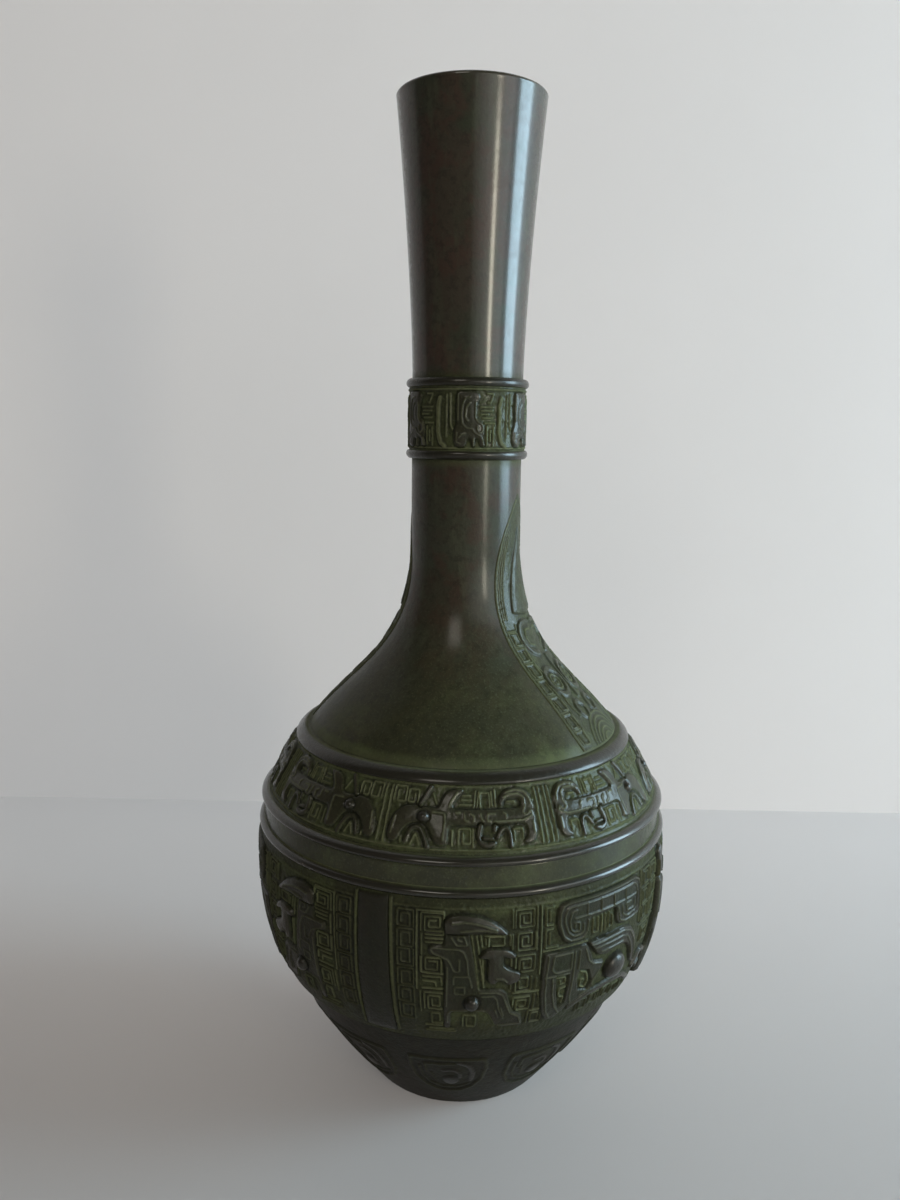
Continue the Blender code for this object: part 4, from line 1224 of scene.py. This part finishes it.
def blade_relief(relief, widths):
    """The blade's ornament: a border of squared spirals round a long leaf, discs and scrolls."""
    up = relief.up

    def inset(amount, low, high, each=8):
        rows = [(width - amount, height) for height, width in zip(up, widths)][::each]
        return [(x, y) for x, y in rows if low < y < high and x > 0.3]

    for side in (1, -1):
        def on_side(path):
            return [(side * x, y) for x, y in path]

        relief.line(on_side(inset(0.55, 115.0, 191.0)), 1.0, 0.26)
        for index, height in enumerate(np.arange(118.4, 148.0, 4.35)):
            middle = float(np.interp(height, up, widths)) - 3.45
            turn = 1 if index % 2 else -1
            path = [(middle + turn * x, height + y) for x, y in coil(3.5, 3.4, 1.0)]
            relief.line(on_side(path), 0.46, 0.40)
            relief.line(on_side([(middle - 1.8, height + 2.2), (middle + 1.8, height + 2.2)]), 0.4, 0.34)
        for amount, low, high in ((1.5, 116.6, 178.0), (2.3, 149.0, 177.0), (3.1, 149.0, 176.0)):
            relief.line(on_side(inset(amount, low, high)), 0.38, 0.30)
        relief.line(on_side(inset(5.6, 116.6, 150.0)), 0.5, 0.36)
        relief.bar(on_side(arc((5.2, 132.0), 3.5, 0, 360, 1.05, 28)), 1.3, 0.48)
        relief.line(on_side(arc((5.2, 132.0), 1.9, 0, 360, 1.05, 20)), 0.45, 0.36)
        relief.line(on_side(arc((5.2, 132.0), 0.8, 30, 330, 1.0, 12)), 0.4, 0.34)
        hook = [(1.4, 148.6), (5.0, 148.7), (7.2, 146.4), (7.4, 143.0), (6.0, 140.4), (3.2, 139.6)]
        relief.bar(on_side(hook), 1.6, 0.50)
        curl = [(1.2, 146.4), (4.0, 146.6), (5.3, 144.6), (4.8, 142.4), (2.8, 141.8)]
        relief.line(on_side(curl), 0.6, 0.36)
        relief.bar(on_side(arc((4.2, 124.2), 2.1, -60, 230, 1.1)), 1.1, 0.44)
        relief.line(on_side([(8.6, 137.4), (8.2, 134.8)]), 0.45, 0.34)
        relief.line(on_side([(8.0, 128.6), (8.8, 126.0), (8.0, 123.0)]), 0.45, 0.34)
        for radius in (3.4, 4.8, 6.2, 7.6, 9.0):
            relief.line(on_side(arc((0.0, 113.4), radius, 10, 90, 1.15)), 0.42, 0.34)
    relief.bar([(0.0, 127.0), (0.0, 138.4)], 1.0, 0.45)
    leaf = [(0.0, 177.4), (2.5, 170.0), (3.9, 165.0), (5.2, 160.0), (6.4, 155.0), (7.1, 151.6), (0.0, 150.8)]
    leaf = leaf + [(-x, y) for x, y in leaf[-2:0:-1]]
    relief.plate(leaf, 0.50, 0.4, crown=0.3)
    relief.plates *= 0.35


def make_blade(name, turn):
    heights = np.linspace(BLADE_FOOT, BLADE_TIP, BLADE_ROWS + 1)
    widths = np.interp(heights, *zip(*BLADE_OUTLINE))
    rises = [rise_at(shoulder_curve, height) for height in heights]
    rows = np.array([(*shoulder_curve(rise), *normal_at(shoulder_curve, rise)) for rise in rises])
    spread = np.linspace(-BLADE_REACH, BLADE_REACH, 191)
    relief = Relief(spread, heights)
    blade_relief(relief, widths)
    relief.cast(15, 0.04)
    drawn, painted = patina(relief, 0.25, False)
    shares = np.linspace(-1, 1, BLADE_COLUMNS + 1)
    across = shares[None, :] * widths[:, None]

    def taken(field):
        return np.stack([np.interp(x, spread, line) for x, line in zip(across, field)])

    rim = (1 - np.abs(shares)[None, :]) * widths[:, None]
    ends = np.minimum(heights - BLADE_FOOT, (BLADE_TIP - heights) * 0.4)[:, None]
    border = smooth_step(np.minimum(rim, ends + 0.35) / 0.35)
    low = smooth_step((BLADE_TIP - heights) / 26.0)[:, None]
    out = (taken(drawn) * (0.35 + 0.65 * low) + 0.06) * border - 0.25 * (1 - border)
    angle = across / rows[:, 0, None] + math.radians(turn)
    piece = placed_grid(name, round_axis(rows, angle, out), [taken(field) for field in painted])
    thickness = piece.modifiers.new("thickness", "SOLIDIFY")
    thickness.thickness = BLADE_THICKNESS * MM
    thickness.offset = -1
    bpy.ops.object.modifier_apply(modifier=thickness.name)
    bpy.ops.object.shade_smooth_by_angle(angle=math.radians(CARVED_SHARP))
    piece.select_set(False)
    return piece


# Finishes

# Sockets of a Mix node that mixes colours
MIX_SHARE = 0
MIX_FIRST = 6
MIX_SECOND = 7
MIX_COLOUR = 2

# Colours that the patina has on every casting; near black also serves for painted shade, and the chalky
# colour also for painted highlight
MOSS = (0.083, 0.099, 0.042)
DARK_MOSS = (0.040, 0.042, 0.018)
SHADED_MOSS = (0.024, 0.026, 0.013)
MOTTLED_MOSS = (0.022, 0.023, 0.012)
DUSTY_MOSS = (0.110, 0.120, 0.060)
RUBBED_BROWN = (0.034, 0.027, 0.018)
NEAR_BLACK = (0.009, 0.009, 0.005)
CHALK_AND_HIGHLIGHT = (0.145, 0.152, 0.085)


class Value:
    """A shader socket that takes part in arithmetic."""

    def __init__(self, finish, socket):
        self.finish = finish
        self.socket = socket

    def joined(self, operation, first, second):
        return self.finish.node("ShaderNodeMath", {"operation": operation}, {0: first, 1: second})

    def __add__(self, other):
        return self.joined("ADD", self, other)

    def __sub__(self, other):
        return self.joined("SUBTRACT", self, other)

    def __mul__(self, other):
        return self.joined("MULTIPLY", self, other)

    __radd__ = __add__
    __rmul__ = __mul__

    def __rsub__(self, other):
        return self.joined("SUBTRACT", other, self)

    def clipped(self):
        return self.finish.node("ShaderNodeClamp", {}, {0: self})

    def between(self, low, high):
        """0 below low and 1 above high, with a smooth change between them."""
        settings = {"interpolation_type": "SMOOTHSTEP"}
        inputs = {"Value": self, "From Min": low, "From Max": high}
        return self.finish.node("ShaderNodeMapRange", settings, inputs)


class Finish:
    """A material, and one way to add nodes to it."""

    def __init__(self, name):
        self.material = bpy.data.materials.new(name)
        self.material.use_nodes = True
        self.tree = self.material.node_tree
        self.shader = self.tree.nodes["Principled BSDF"]

    def node(self, kind, settings, inputs, output=0):
        made = self.tree.nodes.new(kind)
        for label, value in settings.items():
            setattr(made, label, value)
        for label, value in inputs.items():
            self.feed(made.inputs[label], value)
        return Value(self, made.outputs[output])

    def feed(self, socket, value):
        if isinstance(value, Value):
            self.tree.links.new(value.socket, socket)
        else:
            socket.default_value = value

    def attribute(self, name):
        return self.node("ShaderNodeAttribute", {"attribute_name": name}, {}, "Fac")

    def places(self):
        return self.node("ShaderNodeTexCoord", {}, {}, "Object")

    def noise(self, places, scale, detail=3.0, roughness=0.55, distortion=0.0):
        inputs = {"Vector": places, "Scale": scale, "Detail": detail}
        inputs.update({"Roughness": roughness, "Distortion": distortion})
        return self.node("ShaderNodeTexNoise", {"noise_dimensions": "3D"}, inputs)

    def blend(self, share, first, second):
        """One colour turning into another. Colours are red, green and blue, or values."""
        inputs = {MIX_SHARE: share}
        for socket, shade in ((MIX_FIRST, first), (MIX_SECOND, second)):
            inputs[socket] = shade if isinstance(shade, Value) else (*shade, 1.0)
        settings = {"data_type": "RGBA", "clamp_factor": True}
        return self.node("ShaderNodeMix", settings, inputs, MIX_COLOUR)

    def bump(self, strength, distance, height):
        """Let a height shape the surface's shading."""
        inputs = {"Strength": strength, "Distance": distance, "Height": height}
        self.shine("Normal", self.node("ShaderNodeBump", {}, inputs))

    def shine(self, label, value):
        """Give one of the shader's sockets a value."""
        self.feed(self.shader.inputs[label], value)


def bronze(name, brown, olive, wax, red, coarse, haze):
    """Waxed patina on bronze: brown with olive and reddish patches, green where the marks say so.

    The worn mark bares brown metal, the pale mark lays chalky deposit and painted highlight on raised lines,
    and the stain_and_shade mark lays near black for stains and painted shade in hollows and on bead crests.
    """
    finish = Finish(name)
    places = finish.places()
    settings = {"operation": "MULTIPLY"}
    drawn_out = finish.node("ShaderNodeVectorMath", settings, {0: places, 1: (1.0, 1.0, 0.14)})
    green = finish.attribute("green")
    worn = finish.attribute("worn")
    pale = finish.attribute("pale")
    clouds = finish.noise(places, 34.0, 4.0, 0.6, 0.4)
    patches = finish.noise(places, 95.0, 5.0, 0.65)
    runs = finish.noise(drawn_out, 260.0, 3.0, 0.6)
    mottle = finish.noise(places, 430.0, 4.0, 0.65)
    grain = finish.noise(places, 1500.0, 3.0, 0.6)
    specks = mottle.between(0.46, 0.68)
    dust = grain.between(0.52, 0.72)
    rust = (brown[0] * 1.22, brown[1] * 0.76, brown[2] * 0.80)
    streak = tuple(1.7 * value for value in olive)
    stain = tuple(0.5 * value for value in brown)
    body = finish.blend(clouds.between(0.43, 0.58), brown, olive)
    body = finish.blend(patches.between(0.46, 0.60) * red, body, rust)
    body = finish.blend(runs.between(0.50, 0.70) * 0.5, body, streak)
    body = finish.blend(specks * 0.6, body, stain)
    body = finish.blend(dust * 0.35, body, streak)
    cover = (green * 1.15 + green * (patches - 0.5) * 1.3 + green * (mottle - 0.5) * 0.9).clipped()
    lively = ((green - 0.6) * 1.6 + (patches - 0.5) * 2.4).clipped()
    moss = finish.blend(lively, DARK_MOSS, MOSS)
    moss = finish.blend(clouds.between(0.46, 0.62) * 0.42, moss, SHADED_MOSS)
    moss = finish.blend(specks * 0.5, moss, MOTTLED_MOSS)
    moss = finish.blend(dust * 0.4, moss, DUSTY_MOSS)
    skin = finish.blend(cover, body, moss)
    bared = (worn + worn * (patches - 0.5) * 1.1 + worn * (mottle - 0.5) * 0.6).clipped()
    skin = finish.blend(bared * 0.8, skin, RUBBED_BROWN)
    # Near black: dark stains, and painted shade in hollows and on bead crests
    skin = finish.blend(finish.attribute("stain_and_shade") * 0.85, skin, NEAR_BLACK)
    # Pale chalky deposit, with painted highlight on the crests of raised lines
    chalk_and_highlight = (pale + pale * (mottle - 0.5) * 1.8 + pale * (clouds - 0.5) * 1.2).clipped()
    skin = finish.blend(chalk_and_highlight * 0.85, skin, CHALK_AND_HIGHLIGHT)
    finish.shine("Base Color", skin)
    finish.shine("Roughness", 0.50 + cover * 0.32 + chalk_and_highlight * 0.10 - bared * 0.08 + (mottle - 0.5) * 0.2)
    finish.shine("Metallic", (bared * 0.25 - cover * 0.2).clipped())
    coat = wax - cover * 0.4 * wax + bared * 0.5 - chalk_and_highlight * 0.35
    coat = coat + (clouds - 0.5) * 0.5 * wax + (mottle - 0.5) * 0.9 * wax
    finish.shine("Coat Weight", coat.clipped())
    finish.shine("Coat Roughness", haze)
    finish.shine("IOR", 1.18)
    finish.bump(coarse, 0.00036, grain * 0.5 + patches * 1.1 + mottle * 0.9)
    return finish.material


def poured_metal(name, bright, dull, roughness):
    """Braze or solder as it set: bright metal with a dull skin in patches."""
    finish = Finish(name)
    places = finish.places()
    patches = finish.noise(places, 240.0, 4.0, 0.6)
    grain = finish.noise(places, 1600.0, 2.0)
    share = patches.between(0.4, 0.64)
    finish.shine("Base Color", finish.blend(share, bright, dull))
    finish.shine("Roughness", roughness + share * 0.25 + (grain - 0.5) * 0.1)
    finish.shine("Metallic", 0.9)
    finish.bump(0.4, 0.0002, patches + grain * 0.3)
    return finish.material


def dress(piece, material, node=None):
    """Give a piece its finish. A new piece rides on the vase and replaces a node."""
    piece.data.materials.clear()
    piece.data.materials.append(material)
    if node:
        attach(piece, "root")
        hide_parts(node)


# Colours of each casting's skin, then how waxed, red, coarse and hazy it is
FINISHES = {
    "neck": ((0.043, 0.034, 0.023), (0.031, 0.034, 0.020), 0.90, 0.60, 0.40, 0.16),
    "shoulder": ((0.043, 0.036, 0.024), (0.040, 0.042, 0.026), 0.50, 0.60, 0.45, 0.20),
    "frieze": ((0.0185, 0.0175, 0.0098), (0.0175, 0.0205, 0.0098), 0.25, 0.30, 0.90, 0.24),
    "band": ((0.017, 0.016, 0.009), (0.016, 0.018, 0.009), 0.45, 0.25, 0.90, 0.20),
    "waist": ((0.017, 0.015, 0.009), (0.016, 0.018, 0.009), 0.95, 0.30, 0.70, 0.17),
    # Blade colours are paler, partly their own pale patina and partly painted reflection of the bright
    # window side
    "blade": ((0.046, 0.049, 0.029), (0.049, 0.058, 0.033), 0.50, 0.10, 0.80, 0.26),
    "bowl": ((0.0135, 0.0110, 0.0064), (0.0115, 0.0105, 0.0062), 0.10, 0.30, 0.80, 0.28),
}


def make_vase():
    skins = {name: bronze(name + " bronze", *values) for name, values in FINISHES.items()}
    for piece in make_frieze():
        dress(piece, skins["frieze"], "belly")
    for piece in make_dragon_band():
        dress(piece, skins["band"], "dragon_band")
    dress(make_collar(), skins["band"], "neck_collar")
    dress(make_waist(), skins["waist"], "waist_ring")
    dress(make_bowl(), skins["bowl"], "foot_bowl")
    dress(make_shoulder(), skins["shoulder"], "shoulder")
    dress(make_mouth(), skins["neck"], "mouth_neck")
    for name, turn in (("blade_front", 0.0), ("blade_back", 180.0)):
        dress(make_blade(name, turn), skins["blade"], "shoulder")
    braze = poured_metal("braze", (0.42, 0.30, 0.12), (0.16, 0.12, 0.06), 0.38)
    solder = poured_metal("solder", (0.30, 0.30, 0.29), (0.16, 0.16, 0.155), 0.42)
    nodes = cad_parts
    for name, node in nodes.items():
        if name.endswith("_braze"):
            dress(node, braze)
    dress(nodes["base_solder"], solder)
    dress(nodes["base_plate"], skins["bowl"])


# Stage, lights and camera, set out along the photograph's line of sight and then turned to it

STAGE_SIZE = 6.0
WALL_DISTANCE = 0.219
VASE_MIDDLE = Vector((0, 0, 0.15))


def turned_to_view(place):
    """A place that is given by the line of sight, +Y away from the camera."""
    return Matrix.Rotation(math.radians(VIEW_TURN), 4, "Z") @ Vector(place)


def paint(name, shade):
    """Matt pale paint with a faint unevenness."""
    finish = Finish(name)
    clouds = finish.noise(finish.places(), 5.0, 3.0)
    low = tuple(0.97 * value for value in shade)
    finish.shine("Base Color", finish.blend(clouds.between(0.35, 0.65), low, shade))
    finish.shine("Roughness", 0.6)
    return finish


def glow(finish, near, far, one_sided=False):
    """Show a surface a little brighter to the camera and in reflections, by near and far strengths.

    They are its strengths in front of the vase and behind it. The back of a one-sided wall isn't seen.
    """
    ahead = tuple(turned_to_view((0.0, 1.0, 0.0)))
    settings = {"operation": "DOT_PRODUCT"}
    depth = finish.node("ShaderNodeVectorMath", settings, {0: finish.places(), 1: ahead}, "Value")
    strength = near + depth.between(-0.10, 0.20) * (far - near)
    rays = [f"Is {kind} Ray" for kind in ("Camera", "Glossy", "Transmission")]
    camera, glossy, through = (finish.node("ShaderNodeLightPath", {}, {}, ray) for ray in rays)
    seen = (camera + glossy + through).clipped()
    lit = finish.node("ShaderNodeEmission", {}, {"Strength": seen * strength})
    painted = Value(finish, finish.shader.outputs[0])
    last = finish.node("ShaderNodeAddShader", {}, {0: painted, 1: lit})
    if one_sided:
        clear = finish.node("ShaderNodeBsdfTransparent", {}, {})
        back = finish.node("ShaderNodeNewGeometry", {}, {}, "Backfacing")
        last = finish.node("ShaderNodeMixShader", {}, {0: back, 1: last, 2: clear})
    finish.feed(finish.tree.nodes["Material Output"].inputs["Surface"], last)


def add_panel(name, finish):
    """A square panel of the stage, flat on the ground."""
    bpy.ops.mesh.primitive_grid_add(x_subdivisions=4, y_subdivisions=4, size=STAGE_SIZE)
    panel = bpy.context.object
    panel.name = name
    panel.data.materials.append(finish.material)
    panel.select_set(False)
    return panel


def make_stage():
    table_paint = paint("table paint", (0.53, 0.485, 0.465))
    glow(table_paint, 0.06, 0.20)
    floor = add_panel("floor", table_paint)
    wall_paint = paint("wall paint", (0.64, 0.60, 0.585))
    glow(wall_paint, 0.20, 0.20, one_sided=True)
    wall = add_panel("backdrop", wall_paint)
    centre = turned_to_view((0.0, WALL_DISTANCE, STAGE_SIZE / 2 - 0.002))
    upright = Matrix.Rotation(math.radians(VIEW_TURN), 4, "Z") @ Matrix.Rotation(math.radians(90), 4, "X")
    wall.data.transform(Matrix.Translation(centre) @ upright)


def add_lamp(name, place, width, height, power, tint):
    """A soft rectangular lamp that faces the vase's middle."""
    data = bpy.data.lights.new(name, "AREA")
    data.shape = "RECTANGLE"
    data.size = width
    data.size_y = height
    data.energy = power
    data.color = tint
    lamp = bpy.data.objects.new(name, data)
    bpy.context.scene.collection.objects.link(lamp)
    lamp.location = turned_to_view(place)
    aim = VASE_MIDDLE - lamp.location
    lamp.rotation_mode = "QUATERNION"
    lamp.rotation_quaternion = aim.to_track_quat("-Z", "Y")


def make_lights():
    warm = (1.0, 0.98, 0.93)
    for name, place, width, height, power, tint in (
        ("window", (1.20, 0.02, 0.42), 0.64, 0.72, 19.2, (0.60, 0.85, 1.0)),
        ("room_lamp", (0.88, -1.01, 0.25), 0.14, 0.38, 2.45, (1.0, 0.94, 0.76)),
        ("room_glow_wide", (0.994, -1.404, 0.58), 2.09, 0.95, 2.9, warm),
        ("room_glow_middle", (1.112, -1.312, 0.58), 1.70, 0.95, 2.4, warm),
        ("room_glow_narrow", (1.222, -1.210, 0.58), 1.34, 0.95, 1.9, warm),
        ("room_glow_side", (1.520, -0.810, 0.58), 0.86, 0.95, 2.2, (0.68, 0.88, 1.0)),
        ("ceiling_lamp", (-0.32, -1.08, 1.00), 0.40, 0.46, 2.2, (1.0, 0.94, 0.84)),
    ):
        add_lamp(name, place, width, height, power, tint)
    world = bpy.data.worlds.new("room")
    world.use_nodes = True
    background = world.node_tree.nodes["Background"]
    background.inputs["Color"].default_value = (1.0, 0.98, 0.95, 1.0)
    background.inputs["Strength"].default_value = 0.08
    bpy.context.scene.world = world


def make_camera():
    """The photograph's camera, fitted to the outlines of the vase."""
    pitch = 0.17245
    roll = 0.013508
    yaw = -0.014498
    right = Vector((math.cos(yaw), -math.sin(yaw), 0))
    ahead = Vector((math.cos(pitch) * math.sin(yaw), math.cos(pitch) * math.cos(yaw), -math.sin(pitch)))
    upward = Vector((math.sin(pitch) * math.sin(yaw), math.sin(pitch) * math.cos(yaw), math.cos(pitch)))
    across = math.cos(roll) * right + math.sin(roll) * upward
    up = math.cos(roll) * upward - math.sin(roll) * right
    axes = Matrix((across, up, -ahead)).transposed().to_4x4()
    place = Matrix.Translation((0.0, -0.3068, 0.2067))
    data = bpy.data.cameras.new("camera")
    data.lens = 30.0
    data.sensor_width = 36.0
    data.clip_start = 0.01
    camera = bpy.data.objects.new("camera", data)
    bpy.context.scene.collection.objects.link(camera)
    camera.matrix_world = Matrix.Rotation(math.radians(VIEW_TURN), 4, "Z") @ place @ axes
    bpy.context.scene.camera = camera


def main():
    make_vase()
    make_stage()
    make_lights()
    make_camera()
    bpy.context.scene.view_settings.view_transform = "Standard"


main()
